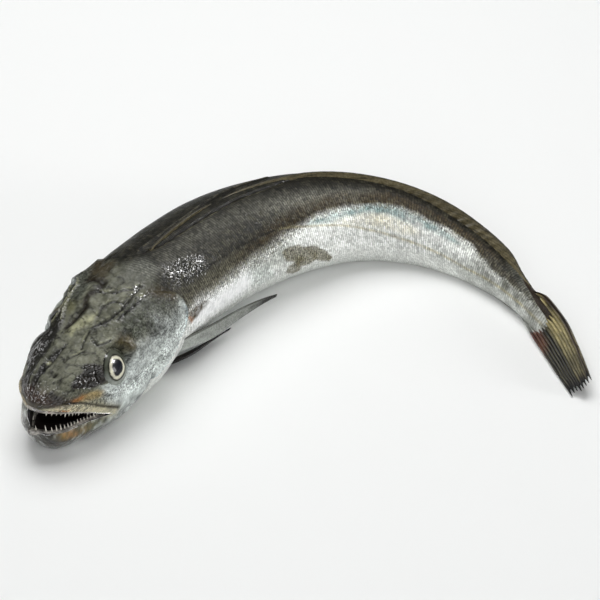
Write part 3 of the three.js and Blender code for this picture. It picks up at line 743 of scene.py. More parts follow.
    # snout and lips
    brush("snout", 0.95 * ramp(r, 84, 76), both, 4.2, [(3, 0), (3, 40), (7, 70)])
    brush("brownBlack", 0.9, both, 5, snoutPath, (0.1, 0.45))
    brush("brownBlack", 0.85, both, 2.6, [(7, 38), (8, 62), (11, 68)])
    brush("orange", 0.75, both, 2.2, [(14.5, 74), (18.5, 74)])
    lip = stroke(both, 3.2, [(3, 89), (11, 89), (18, 94), (26, 102), (36, 111)])
    cover("lipPale", (0.85 + 0.3 * fine) * lip)
    cover("cheekDark", 0.7 * ramp(fine, 0.12, 0.35) * lip)
    brush("orange", 0.8, both, 2.2, [(2, 90), (8, 91), (13, 92)], (0.05, 0.4))
    # more painted shade in the lip crease, and between the closed lips on the right
    brush("dark", 0.8, sharpBoth, 0.8, "lipCrease")
    brush("dark", 0.9, sharp, 0.9, "closedLips")
    # lower jaw
    cover("chin", 0.9 * ramp(around, 112, 118) * ramp(a, 26, 14))
    cover("belly", 0.85 * ramp(r, 126, 134) * ramp(a, 8, 20) * ramp(along, 98, 78))
    cover("chin", 0.8 * ramp(fine + rough, 0, 0.4) * head * ramp(around, 112, 118) * ramp(a, 50, 30))
    brush("headOlive", 0.45, both, 2.0, [(21, 119), (27, 119), (33, 116)])
    jaw = head * ramp(around, 106, 114)
    cover("cheek", 0.5 * ramp(fine, 0.12, 0.4) * jaw)
    cover("dark", 0.75 * ramp(mottle, 0.1, 0.4) * jaw * (1 - 0.6 * ramp(a, 30, 50)))
    brush("ochre", (0.42 + 0.3 * fine), both, 1.6, [(8, 121), (15, 119), (22, 118)])
    brush("orange", 0.5, both, 1.3, [(9, 121), (15, 119)], (-0.2, 0.5))
    # gill cover, shoulder and lateral line
    # painted shade along the preopercle's groove, from partway down the head
    brush("dark", 0.5 * ramp(around, 45, 60), sharpBoth, 0.6, "preopercle")
    brush("brown", 0.9, both, 3.4, [(88, 33), (93, 41), (97, 49)])
    brush("back", 0.8, shaken, 5, [(110, 52), (135, 56), (165, 54)])
    brush("streak", 0.85 * (1 + fine), both, 5, [(63, 62), (67, 68), (70, 80), (70, 90)])
    brush("cheek", 0.45 * (1 + fine), both, 4, [(78, 52), (82, 60), (80, 74)])
    beyondEdge = along - edge
    cover("membrane", 0.8 * bell(beyondEdge + 1.4, 1.6) * ramp(around, 62, 74) * ramp(around, 112, 100))
    cover("lineYellow", 0.7 * bell(beyondEdge + 0.2, 0.6) * ramp(fine, -0.1, 0.3) * ramp(around, 55, 66))
    # painted shade: a dark line just behind the gill cover's edge, in the gap under it
    cover("dark", 0.8 * bell(beyondEdge - 1.3, 0.9) * ramp(around, 34, 50))
    cover("rust", (0.8 + 0.7 * fine + 0.3 * rough) * zone("rust", both, 1.2))
    brush("orange", 0.85, both, 1.7, [(106, 86), (108, 92)])
    yellow = ramp(along, 190, 215)
    brush("lineDark", 0.9 * (1 - yellow), sharpBoth, 0.8, lateralLine)
    brush("lineYellow", (0.5 + 0.3 * fine) * yellow, sharpBoth, 0.7, lateralLine)
    # the folded back fins
    brush("lineDark", 0.9, sharp, 1.1, "finGroove")
    brush("lineDark", 0.7, sharp, 1.0, "finLine", shift=(0, -3))
    seam = 0.5 * stroke(sharp, 0.5, "finLine") + 0.4 * stroke(sharp, 0.5, "finGroove", (0, -2.2))
    cover("finLine", seam * ramp(fine + rough, -0.4, 0.3))
    # root of the tail fin
    ends = scalesEnd(around)
    beyond = ramp(along, ends - 0.6, ends + 0.8)
    cover("shoulder", (0.55 + 0.5 * rough) * ramp(along, ends - 22, ends - 4))
    cover("tailDark", beyond)
    cover("tailOlive", beyond * ramp(r, 62, 74) * ramp(r, 108, 98))
    cover("tailRed", 0.9 * beyond * ramp(r, 104, 114) * (0.7 + 0.5 * fine))
    # mottling, strongest on the head; the gill cover's pigment runs in streaks from the eye to its edge
    onHead = ramp(along, edge + 10, edge - 2)
    onSnout = bell(along - 4, 9) * ramp(around, 92, 80)
    onJaw = onHead * ramp(around, 104, 114)
    onCheek = onHead * ramp(r, 48, 60) * (1 - onJaw)
    streaks = clouds(u * 0.45 + v * 0.2, v - 0.35 * u, 4.5, 103)
    tone = 1 + (0.15 + 0.2 * onHead + 0.8 * onSnout) * fine + (0.05 + 0.2 * onHead) * mottle + 0.12 * wide
    tone = tone + 0.22 * onHead * rough + 0.5 * onJaw * (fine + mottle) + 0.5 * onCheek * streaks
    base = base * np.clip(tone, 0.25, 2)[..., None]
    # finish
    scaly = ramp(along, edge - 1, edge + 2) * ramp(along, 88, 100) * (1 - beyond)
    scaly = scaly * (1 - 0.7 * ramp(around, 112, 130)) * (1 - 0.75 * paintedHighlight) * (1 - 0.35 * silverMask)
    bare = np.maximum(zone("blotch", shaken), zone("rust", both, 2))
    silver = 0.75 * silverMask * (1 - bare) * (1 - 0.8 * paintedHighlight) * (1 - beyond)
    silver = np.maximum(silver * (1 - 0.45 * ramp(along, 230, 300)), 0.25 * head * ramp(r, 66, 90))
    wet = 0.06 + 0.1 * head + 0.9 * zone("beforeEye", sharpBoth, 2)
    wet += 0.35 * zone("bandTop", sharp, 2)
    for name in wetCreases:
        wet += 0.7 * stroke(sharp, 1.8, name)
    wet += stroke(sharp, 5, [(107, 33), (115, 39), (128, 47)]) + 0.3 * zone("bandRight", sharp, 2)
    wet += 0.8 * stroke(sharpBoth, 6, snoutPath) + 0.6 * ramp(around, 108, 116) * head
    speckle = 0.3 + 0.4 * ramp(around, 24, 44) - 0.4 * silverMask + 3.2 * silverMask * (1 - silverMask)
    speckle += 0.4 * zone("cheekDark", both, 3) + 0.6 * bare - 0.2 * head
    speckle = speckle * (1 - 0.8 * paintedHighlight)
    finish = np.stack([scaly, silver, np.clip(wet, 0, 1), np.clip(speckle, 0, 1)], -1)
    return np.concatenate([np.clip(base, 0, 1), np.ones(along.shape + (1,))], -1), finish


def wetSkin():
    # raw fish skin, scaled, wet: scales in offset rows over pigment, silver from guanine, under slime
    material, tree, shader = newMaterial("wetScaledFishSkin")
    uv = addNode(tree, "UVMap", uv_map="millimetres").outputs["UV"]
    paint = addNode(tree, "Attribute", attribute_name="paint").outputs["Color"]
    finish = addNode(tree, "Attribute", attribute_name="finish").outputs
    parts = addNode(tree, "SeparateColor", {"Color": finish["Color"]}).outputs
    scaly, silver, wet, speckle = parts[0], parts[1], parts[2], finish["Alpha"]
    # one cell of the pattern is one scale; the real 1 mm ones are drawn a little larger, to show
    perScale = 1 / skin["scale"]
    placing = {"Vector": uv, "Scale": (perScale, perScale * 0.9, 1), "Rotation": (0, 0, 0.2)}
    sized = addNode(tree, "Mapping", placing).outputs[0]
    tiling = {"Vector": sized, "Scale": 1.0, "Randomness": 0.3}
    cells = addNode(tree, "TexVoronoi", tiling, voronoi_dimensions="2D").outputs
    inside = addNode(tree, "VectorMath", {0: sized, 1: cells["Position"]}, operation="SUBTRACT").outputs[0]
    across = addNode(tree, "SeparateXYZ", {0: inside}).outputs[0]
    # each scale rises towards its free rear edge
    rise = addNode(tree, "MapRange", {0: across, 1: -0.5, 2: 0.5, 3: 0.0, 4: 1.0}).outputs[0]
    cellTone = addNode(tree, "SeparateColor", {"Color": cells["Color"]}).outputs
    # pigment grains under a millimetre across, and patches of slime about 4 mm across
    grains = {"Vector": uv, "Scale": 0.85, "Detail": 3.0, "Roughness": 0.7}
    grain = addNode(tree, "TexNoise", grains, noise_dimensions="2D").outputs[0]
    patches = {"Vector": uv, "Scale": 0.22, "Detail": 4.0, "Roughness": 0.6}
    slime = addNode(tree, "TexNoise", patches, noise_dimensions="2D").outputs[0]
    toneScale = addNode(tree, "MapRange", {0: cellTone[0], 1: 0.0, 2: 1.0, 3: 0.55, 4: 1.6}).outputs[0]
    # painted shade and highlight: each scale darker at its front, under the free edge of the one before,
    # and lighter towards its own free edge
    paintedScaleShade = addNode(tree, "MapRange", {0: rise, 1: 0.0, 2: 0.55, 3: 0.4, 4: 1.2}).outputs[0]
    scaleTone = addNode(tree, "Math", {0: toneScale, 1: paintedScaleShade}, operation="MULTIPLY").outputs[0]
    speck = addNode(tree, "MapRange", {0: grain, 1: 0.36, 2: 0.64, 3: 0.3, 4: 1.75}).outputs[0]
    scaleMix, speckMix = (
        addNode(tree, "Mix", {0: share, 2: 1.0, 3: full}, data_type="FLOAT").outputs[0]
        for share, full in ((scaly, scaleTone), (speckle, speck)))
    tone = addNode(tree, "Math", {0: scaleMix, 1: speckMix}, operation="MULTIPLY").outputs[0]
    toned = addNode(tree, "VectorMath", {0: paint, "Scale": tone}, operation="SCALE").outputs[0]
    # some scales of the dark back are pale olive at their free edge
    chosen = addNode(tree, "MapRange", {0: cellTone[1], 1: 0.5, 2: 0.95, 3: 0.0, 4: 0.75}).outputs[0]
    marked = addNode(tree, "MapRange", {0: speckle, 1: 0.5, 2: 1.0, 3: 0.0, 4: 1.0}).outputs[0]
    fleck = chosen
    for share in (marked, rise, scaly):
        fleck = addNode(tree, "Math", {0: fleck, 1: share}, operation="MULTIPLY").outputs[0]
    olive = {0: fleck, 6: toned, 7: linear("#8f8c74")}
    # relief: scales on the trunk, fine wrinkles everywhere, deeper where it is wet
    tilt = rise
    for share in (scaly, toneScale):
        tilt = addNode(tree, "Math", {0: tilt, 1: share}, operation="MULTIPLY").outputs[0]
    scaleBump = {"Height": tilt, "Strength": 0.7, "Distance": skin["scaleDepth"] / 1000}
    scaleNormal = addNode(tree, "Bump", scaleBump).outputs[0]
    uneven = addNode(tree, "Math", {0: grain, 1: slime}, operation="ADD").outputs[0]
    deeper = addNode(tree, "MapRange", {0: wet, 1: 0.2, 2: 1.0, 3: 0.7, 4: 2.2}).outputs[0]
    wrinkle = addNode(tree, "Math", {0: uneven, 1: deeper}, operation="MULTIPLY").outputs[0]
    wrinkleBump = {"Height": wrinkle, "Strength": 0.7, "Distance": 0.0005, "Normal": scaleNormal}
    # the slime gathers in drops and ridges about 2 mm across
    drops = {"Vector": uv, "Scale": 0.4, "Detail": 1.0}
    drop = addNode(tree, "TexNoise", drops, noise_dimensions="2D").outputs[0]
    dropBump = {"Height": drop, "Strength": 0.8, "Distance": 0.0013}
    setInputs(tree, shader, {
        "Base Color": addNode(tree, "Mix", olive, data_type="RGBA").outputs[2],
        "Metallic": silver,
        "Roughness": addNode(tree, "MapRange", {0: slime, 1: 0.3, 2: 0.7, 3: 0.32, 4: 0.55}).outputs[0],
        "Specular IOR Level": 0.08,
        "Coat Weight": addNode(tree, "MapRange", {0: wet, 1: 0.0, 2: 1.0, 3: 0.0, 4: 1.0}).outputs[0],
        "Coat Roughness": 0.06,
        "Normal": addNode(tree, "Bump", wrinkleBump).outputs[0],
        "Coat Normal": addNode(tree, "Bump", dropBump).outputs[0]})
    return material


def mouthSkin():
    # wet mucous membrane inside the mouth, nearly black at the back
    material, tree, shader = newMaterial("wetMouthMembrane")
    place = addNode(tree, "TexCoord").outputs["Object"]
    spots = addNode(tree, "TexNoise", {"Vector": place, "Scale": 250.0, "Detail": 3.0}).outputs[0]
    tones = {0: spots, 6: linear("#070606"), 7: linear("#1c1414")}
    colour = addNode(tree, "Mix", tones, data_type="RGBA").outputs[2]
    setInputs(tree, shader, {"Base Color": colour, "Roughness": 0.35})
    return material


def bodySkin():
    share = np.linspace(0, 1, skin["headRows"] + 1)[1:]
    head = skin["headEnd"] * blend(share ** 2, share, 0.75)
    trunk = np.linspace(skin["headEnd"], fish["trunkEnd"], skin["trunkRows"] + 1)[1:]
    rows = np.concatenate([head, trunk])
    columns = skin["columns"]
    # columns stand closer together on the back and the left flank, where the folds are
    turns = smoothThrough([0, 0.17, 0.85, 1], [-180, -72, 122, 180])(np.arange(columns) / columns)
    a, t = np.meshgrid(rows, turns, indexing="ij")
    points = skinPoint(a, t, fineRelief(a, t, degreeLengthAt(a)))
    # the trunk thins to an edge between the first rays of the tail fin
    points[..., 1] *= 1 - 0.75 * ramp(a, 396, fish["trunkEnd"])
    flat, faces = closedTube(sinkSockets(points), (0, 0, 0), (fish["trunkEnd"] + 0.6, 0, 0))
    colours, finishes = (np.concatenate([values.reshape(-1, 4), [values[0].mean(0), values[-1].mean(0)]])
                         for values in paintSkin(a, t))
    # unrolled skin in mm, one pair for each face corner, with the seam under the belly
    edges = np.append(turns, 180)
    i, k = np.meshgrid(np.arange(len(rows) - 1), np.arange(columns), indexing="ij")

    def unrolled(along, turn, degreeLength):
        return np.stack([along + 0.0 * turn, turn * degreeLength], -1)

    corners = [unrolled(rows[p], edges[q], degreeLengthAt(rows[p]))
               for p, q in ((i, k), (i, k + 1), (i + 1, k + 1), (i + 1, k))]
    tip = [unrolled(0, 0 * turns, 0), unrolled(rows[0], edges[1:], 0.3), unrolled(rows[0], turns, 0.3)]
    end = [unrolled(rows[-1], x, 0.1) for x in (0 * turns, turns, edges[1:])]
    uvs = np.concatenate([np.stack(part, -2).reshape(-1, 2) for part in (corners, tip, end)])
    lining = mouthSkin()
    body = newPiece("fishSkin", flat, faces, [wetSkin(), lining], uvs, colours, finishes)
    body = carve(body, [gapeCutter(lining), hollowCutter(lining)])
    mesh = body.data
    coords = np.zeros(len(mesh.vertices) * 3)
    mesh.vertices.foreach_get("co", coords)
    mesh.vertices.foreach_set("co", lay(coords.reshape(-1, 3)).ravel())
    mesh.set_sharp_from_angle(angle=math.radians(50))
    mesh.update()
    print("skin faces", len(mesh.polygons), "corners", len(mesh.loops))
    return body


standFor(bodySkin(), "hake")
print("stage: skin")


def eyeGlass():
    # eyeball of a raw fish, smooth and wet: black pupil, cream iris ring, grey film outside it
    material, tree, shader = newMaterial("wetFishEye")
    paint = addNode(tree, "Attribute", attribute_name="paint").outputs["Color"]
    setInputs(tree, shader, {"Base Color": paint, "Roughness": 0.25, "Specular IOR Level": 0.1,
                             "Coat Weight": 0.25, "Coat Roughness": 0.02})
    return material


def eyeBall(side, node, material):
    # a dome over rings of radius r, closed below by a second, plain one
    centre, out, forward, over = eyeFrame(side)
    n = eye["rings"]
    r = eye["radius"] * np.sin(np.linspace(0.02, np.pi / 2, n))
    turn = np.linspace(0, 2 * np.pi, eye["around"], endpoint=False)
    r, turn = np.meshgrid(np.concatenate([r, r[::-1][1:]]), turn, indexing="ij")
    below = -eye["depth"] * np.sqrt(np.clip(1 - (r / eye["radius"]) ** 2, 0, 1))
    height = np.where(np.arange(2 * n - 1)[:, None] < n, eyeSurface(r), below)
    u, v = r * np.cos(turn), r * np.sin(turn)
    points = centre + u[..., None] * forward + v[..., None] * over + height[..., None] * out
    # each ring of colour begins where the last one ends, and the film is paler low down
    level = narrowed(u, v) + 0.8 * clouds(u + 40, v + 40, 4, 71)
    masks = [ramp(level, eye[name] - 0.25, eye[name] + 0.25) for name in ("pupil", "iris", "ring", "film")]
    masks.append(ramp(level, eye["ring"] + 0.1, eye["ring"] + 0.7) * ramp(-v / eye["radius"], -0.3, 0.5))
    base = mixTones(eye["tones"], masks) * (1 + 0.5 * clouds(u + 9, v, 2.5, 77))[..., None]
    colours = np.concatenate([base, np.ones(r.shape + (1,))], -1).reshape(-1, 4)
    colours = np.concatenate([colours, colours[:1], colours[-1:]])
    flat, faces = closedTube(points, centre + out * eyeSurface(0.0), centre + out * below[-1, 0])
    name = "eyeBallLeft" if side < 0 else "eyeBallRight"
    addPiece(name, flat, faces, material, node, "eye", colours=colours)


eyeMaterial = eyeGlass()
for side, node in ((-1, "eye_left"), (1, "eye_right")):
    eyeBall(side, node, eyeMaterial)
print("stage: eyes")


def finSheet(low, high, halfThick, rows, columns, shorten=None):
    # a fin is a thin sheet between two edges, ribbed by its rays
    # points low + (high - low) b, moved to each side by the half thickness; closed round its rim
    a, b = np.meshgrid(np.linspace(0, 1, rows + 1), np.linspace(0, 1, columns + 1), indexing="ij")
    sheet = low(a) + (high(a) - low(a)) * b[..., None]
    across = np.cross(np.gradient(sheet, axis=0), high(a) - low(a))
    across = across / np.maximum(np.linalg.norm(across, axis=-1, keepdims=True), 1e-9)
    offset = across * halfThick(a, b)[..., None]
    if shorten is not None:
        sheet[..., 0] -= shorten(a, b)
    points = np.concatenate([sheet + offset, sheet - offset]).reshape(-1, 3)
    width, count = columns + 1, (rows + 1) * (columns + 1)
    i, k = np.meshgrid(np.arange(rows), np.arange(columns), indexing="ij")
    corner = i * width + k
    near = np.stack([corner, corner + 1, corner + width + 1, corner + width], -1).reshape(-1, 4)
    rim = np.concatenate([np.arange(columns), np.arange(rows) * width + columns,
                          rows * width + np.arange(columns, 0, -1), np.arange(rows, 0, -1) * width])
    nextRim = np.roll(rim, -1)
    sides = np.stack([rim, rim + count, nextRim + count, nextRim], -1)
    faces = np.concatenate([near, near[:, ::-1] + count, sides])
    ab = np.stack([a, b], -1).reshape(-1, 2)
    return points, faces, np.concatenate([ab, ab])


def finSkin():
    # fin of a raw fish: horny rays in a thin wet membrane
    material, tree, shader = newMaterial("wetFinMembrane")
    paint = addNode(tree, "Attribute", attribute_name="paint").outputs["Color"]
    uv = addNode(tree, "UVMap", uv_map="millimetres").outputs["UV"]
    grains = {"Vector": uv, "Scale": 0.8, "Detail": 3.0}
    grain = addNode(tree, "TexNoise", grains, noise_dimensions="2D").outputs[0]
    tone = addNode(tree, "MapRange", {0: grain, 1: 0.3, 2: 0.7, 3: 0.75, 4: 1.25}).outputs[0]
    toned = addNode(tree, "VectorMath", {0: paint, "Scale": tone}, operation="SCALE").outputs[0]
    bump = addNode(tree, "Bump", {"Height": grain, "Strength": 0.4, "Distance": 0.0002}).outputs[0]
    setInputs(tree, shader, {"Base Color": toned, "Roughness": 0.4, "Specular IOR Level": 0.15,
                             "Coat Weight": 0.04, "Coat Roughness": 0.1, "Normal": bump})
    return material


def addFin(name, low, high, halfThick, rows, columns, colourAt, shorten=None):
    points, faces, ab = finSheet(low, high, halfThick, rows, columns, shorten)
    colours = np.concatenate([colourAt(ab[:, 0], ab[:, 1]), np.ones((len(ab), 1))], -1)
    uvs = points[faces.ravel()][:, [0, 2]]
    addPiece(name, points, faces.tolist(), finMaterial, uvs=uvs, colours=colours)


def thinnedEdges(b):
    return 1 - 0.3 * np.abs(2 * b - 1)


finMaterial = finSkin()

# at, upper and lower: the heights of both edges at shares of its length; tones cover each other in turn
tail = {"root": 380, "rays": 11, "clumps": 7, "notch": 5, "fork": 4, "longest": 0.6,
        "at": (0, 0.16, 0.4, 0.64, 1), "upper": (5, 10.8, 11.2, 9.6, 6.8),
        "lower": (-6, -9.5, -11, -10.4, -8),
        "tones": ["#1a1813", "#8d825a", "#2a1d12", "#65392a", "#141311", "#6b6650", "#9a9c95", "#0b0a09"]}


def tailFin():
    # rays drawn together like a damp brush, ragged at their ends
    def edge(name):
        height = smoothThrough(tail["at"], tail[name])
        return lambda a: np.stack([blend(tail["root"], fish["length"], a), 0 * a, height(a)], -1)

    def halfThick(a, b):
        ray = np.cos(2 * np.pi * tail["rays"] * b)
        return blend(3, 0.8, a ** 0.6) * thinnedEdges(b) * (0.76 + 0.24 * ray)

    def shorten(a, b):
        # the rays end in clumps of their own lengths, with the membrane torn back between them
        notch = tail["notch"] * np.abs(np.sin(np.pi * tail["clumps"] * b)) ** 0.7
        torn = 4 * cloud(0 * b + 0.5, b * tail["clumps"], 1, 91)
        return (notch + torn + tail["fork"] * np.abs(b - tail["longest"])) * a ** 5

    def colourAt(a, b):
        wave = clouds(a * 80, b * 22, 9, 51)
        streaks = clouds(a * 26, b * 40, 2.2, 57)
        ray = 0.5 + 0.5 * np.cos(2 * np.pi * tail["rays"] * b + 3 * wave)
        along = blend(tail["root"], fish["length"], a) + 2 * wave
        # the scaled skin of the trunk runs out over the roots of the rays
        scaled = np.interp(b, [0, 0.15, 0.5, 0.75, 1], [402, 406, 409, 398, 380])
        tones = mixTones(tail["tones"], [
            ramp(b, 0.42, 0.58) * (1 - 0.7 * ramp(a, 0.45, 0.8)),
            ramp(b + 0.05 * wave, 0.84, 0.95),
            ramp(b, 0.38, 0.1) * ramp(a, 0.24, 0.3) * ramp(a, 0.58, 0.4) * (0.75 + 0.5 * wave),
            ramp(b, 0.55, 0.4) * ramp(a, 0.46, 0.6) * 0.85,
            0.8 * ray ** 3 * ramp(a, 0.3, 0.5) * (0.6 + 0.5 * wave),
            ramp(along, scaled + 0.8, scaled - 0.8),
            ramp(a + 0.06 * wave, 0.86, 0.97),
        ])
        return tones * (np.clip(1 + 1.1 * streaks, 0.25, 2.4) * (0.72 + 0.45 * ray))[..., None]

    addFin("tailFin", edge("lower"), edge("upper"), halfThick, 60, 8 * tail["rays"], colourAt, shorten)


midFins = {
    "firstBackFin": {"from": 112, "to": 166, "turn": 0, "rows": 60, "sideways": -0.3, "thickness": 1.8,
                     "rays": 10, "at": (0, 0.2, 0.7, 1), "height": (0.4, 2.6, 2.2, 0.6)},
    "secondBackFin": {"from": 174, "to": 379, "turn": 0, "rows": 300, "sideways": -0.3, "thickness": 2,
                      "rays": 38, "at": (0, 0.2, 0.5, 0.7, 0.84, 0.95, 1),
                      "height": (0.8, 2, 3.2, 5, 4.8, 1.6, 0.6)},
    "bellyFin": {"from": 214, "to": 378, "turn": -172, "rows": 200, "sideways": 0.8, "thickness": 1.5,
                 "rays": 34, "at": (0, 0.2, 0.8, 1), "height": (0.3, 1.2, 2, 0.5)},
}
midFinTones = ["#453f2d", "#635b44", "#857c5c", "#12100c"]


def midFin(name, fin):
    height = smoothThrough(fin["at"], fin["height"])
    upwards = 1 if fin["turn"] == 0 else -1

    def root(a):
        return skinPoint(blend(fin["from"], fin["to"], a), 0 * a + fin["turn"])

    def low(a):
        return root(a) - (0, 0, 2.5 * upwards)

    def high(a):
        # folded back: the edge trails behind the root
        h = height(a)
        return root(a) + np.stack([1.6 * h, fin["sideways"] * h, upwards * h], -1)

    def halfThick(a, b):
        ray = np.cos(2 * np.pi * fin["rays"] * a)
        return blend(fin["thickness"], 0.45, b) * (0.85 + 0.15 * ray)

    def colourAt(a, b):
        # the folded rays run back at a shallow angle
        wave = clouds(a * 200, b * 8, 12, 61)
        ray = 0.5 + 0.5 * np.cos(2 * np.pi * (fin["rays"] * a - 5 * b) + wave)
        masks = [0.5 + 0.5 * wave, 0.35 * ray * ramp(b, 0.1, 0.5), 0.8 * ramp(b, 0.9, 1.0)]
        tones = mixTones(midFinTones, masks)
        return tones * np.clip(1 + 0.8 * clouds(a * 25, b * 9 - a * 40, 1.2, 65), 0.3, 2)[..., None]

    addFin(name, low, high, halfThick, fin["rows"], 12, colourAt)


pairedFins = {
    "pectoral": {"thickness": 1.2, "rays": 12,
                 "upper": [(96, 30, -9), (125, 31, -17), (155, 30, -23), (189, 27, -28.6)],
                 "lower": [(96, 26, -20), (125, 30.5, -27), (155, 28.8, -30.5), (188, 26.6, -30.2)],
                 "tones": ["#5d5f5a", "#b0b4ae", "#2d2b20", "#14120f"]},
    "pelvic": {"thickness": 1.2, "rays": 7,
               "upper": [(84, 20, -26), (105, 28, -28.5), (125, 30, -30), (145, 30, -31.4)],
               "lower": [(84, 13, -30), (105, 21, -32.6), (125, 26, -33), (143, 29.5, -32.6)],
               "tones": ["#191715", "#33302c", "#0c0b0a", "#0c0b0a"]},
}
rightFinLift = 2  # the lean presses the right side's paired fins up


def roundedLine(points, side, raised):
    # uniform Catmull-Rom curve through the points, with its ends run straight on
    p = np.array([(x, side * out, up + raised) for x, out, up in points], float)
    p = np.concatenate([[2 * p[0] - p[1]], p, [2 * p[-1] - p[-2]]])
    legs = len(p) - 3

    def at(a):
        i = np.clip((a * legs).astype(int), 0, legs - 1)
        t = (a * legs - i)[..., None]
        p0, p1, p2, p3 = p[i], p[i + 1], p[i + 2], p[i + 3]
        return 0.5 * (2 * p1 + (p2 - p0) * t + (2 * p0 - 5 * p1 + 4 * p2 - p3) * t ** 2
                      + (3 * p1 - p0 - 3 * p2 + p3) * t ** 3)
    return at


def pairedFin(kind, fin, side):
    low, high = (roundedLine(fin[edge], side, rightFinLift * (side > 0)) for edge in ("lower", "upper"))

    def halfThick(a, b):
        ray = np.cos(2 * np.pi * fin["rays"] * b)
        return blend(fin["thickness"], 0.4, a) * thinnedEdges(b) * (0.9 + 0.1 * ray)

    def colourAt(a, b):
        ray = 0.5 + 0.5 * np.cos(2 * np.pi * fin["rays"] * b)
        wave = clouds(a * 95, b * 14, 8, 81)
        return mixTones(fin["tones"], [0.7 - 0.6 * a + 0.4 * wave + 0.35 * ray, ramp(b, 0.88, 0.98) * 0.8,
                                       ramp(a + 0.1 * wave, 0.72, 0.93)])

    name = kind + ("Left" if side < 0 else "Right")
    addFin(name, low, high, halfThick, 70, 6 * fin["rays"], colourAt)


tailFin()
for name, fin in midFins.items():
    midFin(name, fin)
for kind, fin in pairedFins.items():
    for side in (-1, 1):
        pairedFin(kind, fin, side)
print("stage: fins")

# inset is measured from the skin: for the teeth of the upper jaw, -1, and of the lower one, 1
gums = {"width": 1.8, "thick": 1.0, "from": 0.5, "to": 32, "inset": 2.2, "rings": 60, "sides": 20}
teeth = {"length": 4.2, "root": 1.6, "radius": 0.62, "curve": 0.9, "from": 1.5, "to": 28, "each": 15,
         "inset": {-1: 1.2, 1: 2.3}, "rings": 5, "sides": 7}


def skinSide(along, height, side):
    # how far right the skin lies at a height, on the side asked for: found at the first turn from
    # the back whose point is that low
    turns = -side * np.arange(60, 176, 0.5)
    a, t = np.meshgrid(np.atleast_1d(along), turns, indexing="ij")
    p = skinPoint(a, t)
    low = p[..., 2] < np.atleast_1d(height)[:, None]
    first = np.argmax(low, 1)
    return p[np.arange(len(first)), first, 1]


def toothEnamel():
    # tooth enamel, needle teeth: translucent off-white
    material, tree, shader = newMaterial("wetToothEnamel")
    place = addNode(tree, "TexCoord").outputs["Object"]
    tint = addNode(tree, "TexNoise", {"Vector": place, "Scale": 400.0, "Detail": 2.0}).outputs[0]
    tones = {0: tint, 6: linear("#c9c4b4"), 7: linear("#efece2")}
    colour = addNode(tree, "Mix", tones, data_type="RGBA").outputs[2]
    setInputs(tree, shader, {"Base Color": colour, "Roughness": 0.2, "Coat Weight": 0.6})
    return material


def gumFlesh():
    # gum flesh, wet: grey-pink with red spots
    material, tree, shader = newMaterial("wetGumFlesh")
    place = addNode(tree, "TexCoord").outputs["Object"]
    spots = {"Vector": place, "Scale": 180.0, "Detail": 4.0, "Roughness": 0.7}
    tint = addNode(tree, "TexNoise", spots).outputs[0]
    band = addNode(tree, "ValToRGB", {"Fac": tint})
    stops = band.color_ramp.elements
    stops[0].position, stops[0].color = 0.35, linear("#2e2826")
    stops[1].position, stops[1].color = 0.6, linear("#b5b0a6")
    spot = stops.new(0.7)
    spot.color = linear("#7a3b32")
    setInputs(tree, shader, {"Base Color": band.outputs[0], "Roughness": 0.3,
                             "Coat Weight": 0.8, "Coat Roughness": 0.1})
    return material


def lipLine(lipAt, pointing, side, along, inset):
    # a line just inside a lip: pointing -1 hangs from the upper lip, +1 stands on the lower one
    share = 1 - np.clip(along / mouth["corner"][0], 0, 1)
    jut = 0.55 * fish["chin"] * share if pointing > 0 else 0 * along
    if side < 0:
        across = skinSide(along, lipAt(along) - 2 * pointing, side) + inset
    else:
        across = rightReach(along) + fish["swing"] * (pointing < 0) * jawFade(along) - inset
    return np.stack([along - jut, across, lipAt(along)], -1)


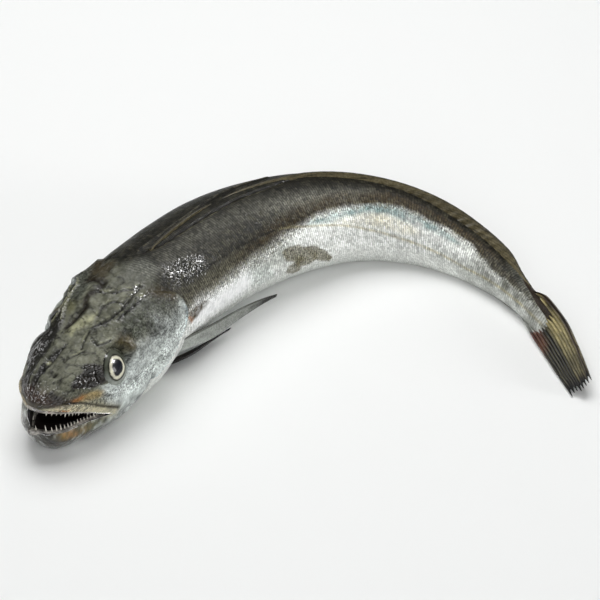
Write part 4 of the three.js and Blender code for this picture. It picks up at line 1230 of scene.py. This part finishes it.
def addTeeth():
    # each tooth is a cone bent inwards: rings of shrinking radius along a parabola
    share = (np.arange(teeth["each"]) + 0.4) / teeth["each"]
    along = blend(teeth["from"], teeth["to"], share)
    s = np.linspace(0, 1, teeth["rings"])[None, :, None]
    angle = np.linspace(0, 2 * np.pi, teeth["sides"], endpoint=False)[None, None, :]
    radius = teeth["radius"] * (1 - s) ** 0.8 + 0.05
    bent = teeth["curve"] * s ** 2
    points, faces = [], []
    for lipAt, pointing in ((upperLipAt, -1), (lowerLipAt, 1)):
        for side in (-1, 1):
            rng = np.random.default_rng(7 + pointing)
            size = teeth["length"] * (1 - 0.35 * share) * rng.uniform(0.55, 1.1, len(share))
            tall = (size[:, None, None] + teeth["root"]) * s - teeth["root"]
            foot = lipLine(lipAt, pointing, side, along, teeth["inset"][pointing])[:, None, None]
            cones = np.stack([foot[..., 0] + radius * np.cos(angle) + 0.4 * bent,
                              foot[..., 1] + radius * np.sin(angle) - side * bent,
                              foot[..., 2] + pointing * tall + 0 * angle], -1)
            feet, tips = cones[:, 0].mean(1), cones[:, -1].mean(1) + (0, 0, 0.1 * pointing)
            # the far row has every second tooth only, from the fourth on
            for k in range(0 if side < 0 else 3, len(share), 1 if side < 0 else 2):
                start = sum(map(len, points))
                tooth, sides = closedTube(cones[k], feet[k], tips[k])
                points.append(tooth)
                faces += [[corner + start for corner in face] for face in sides]
    addPiece("needleTeeth", np.concatenate(points), faces, toothEnamel())


def addGum(name, lipAt, pointing, material):
    # an oval tube along both halves of a jaw, round the front
    along = blend(gums["to"], gums["from"], np.sin(np.linspace(0, np.pi / 2, gums["rings"])))
    left, right = (lipLine(lipAt, pointing, side, along, gums["inset"]) for side in (-1, 1))
    line = np.concatenate([left, right[::-1]])
    tangent = np.gradient(line, axis=0)
    tangent[:, 2] = 0
    tangent /= np.linalg.norm(tangent, axis=1, keepdims=True)
    inward = np.stack([-tangent[:, 1], tangent[:, 0], 0 * tangent[:, 0]], -1)[:, None]
    angle = np.linspace(0, 2 * np.pi, gums["sides"], endpoint=False)[None, :, None]
    oval = inward * gums["width"] * np.cos(angle) + np.array([0, 0, 1.0]) * gums["thick"] * np.sin(angle)
    rings = line[:, None] + oval - np.array([0, 0, 0.6 * pointing])
    addPiece(name, *closedTube(rings, line[0], line[-1]), material)


flesh = gumFlesh()
addGum("upperGum", upperLipAt, -1, flesh)
addGum("lowerGum", lowerLipAt, 1, flesh)
addTeeth()
print("stage: gums and teeth")
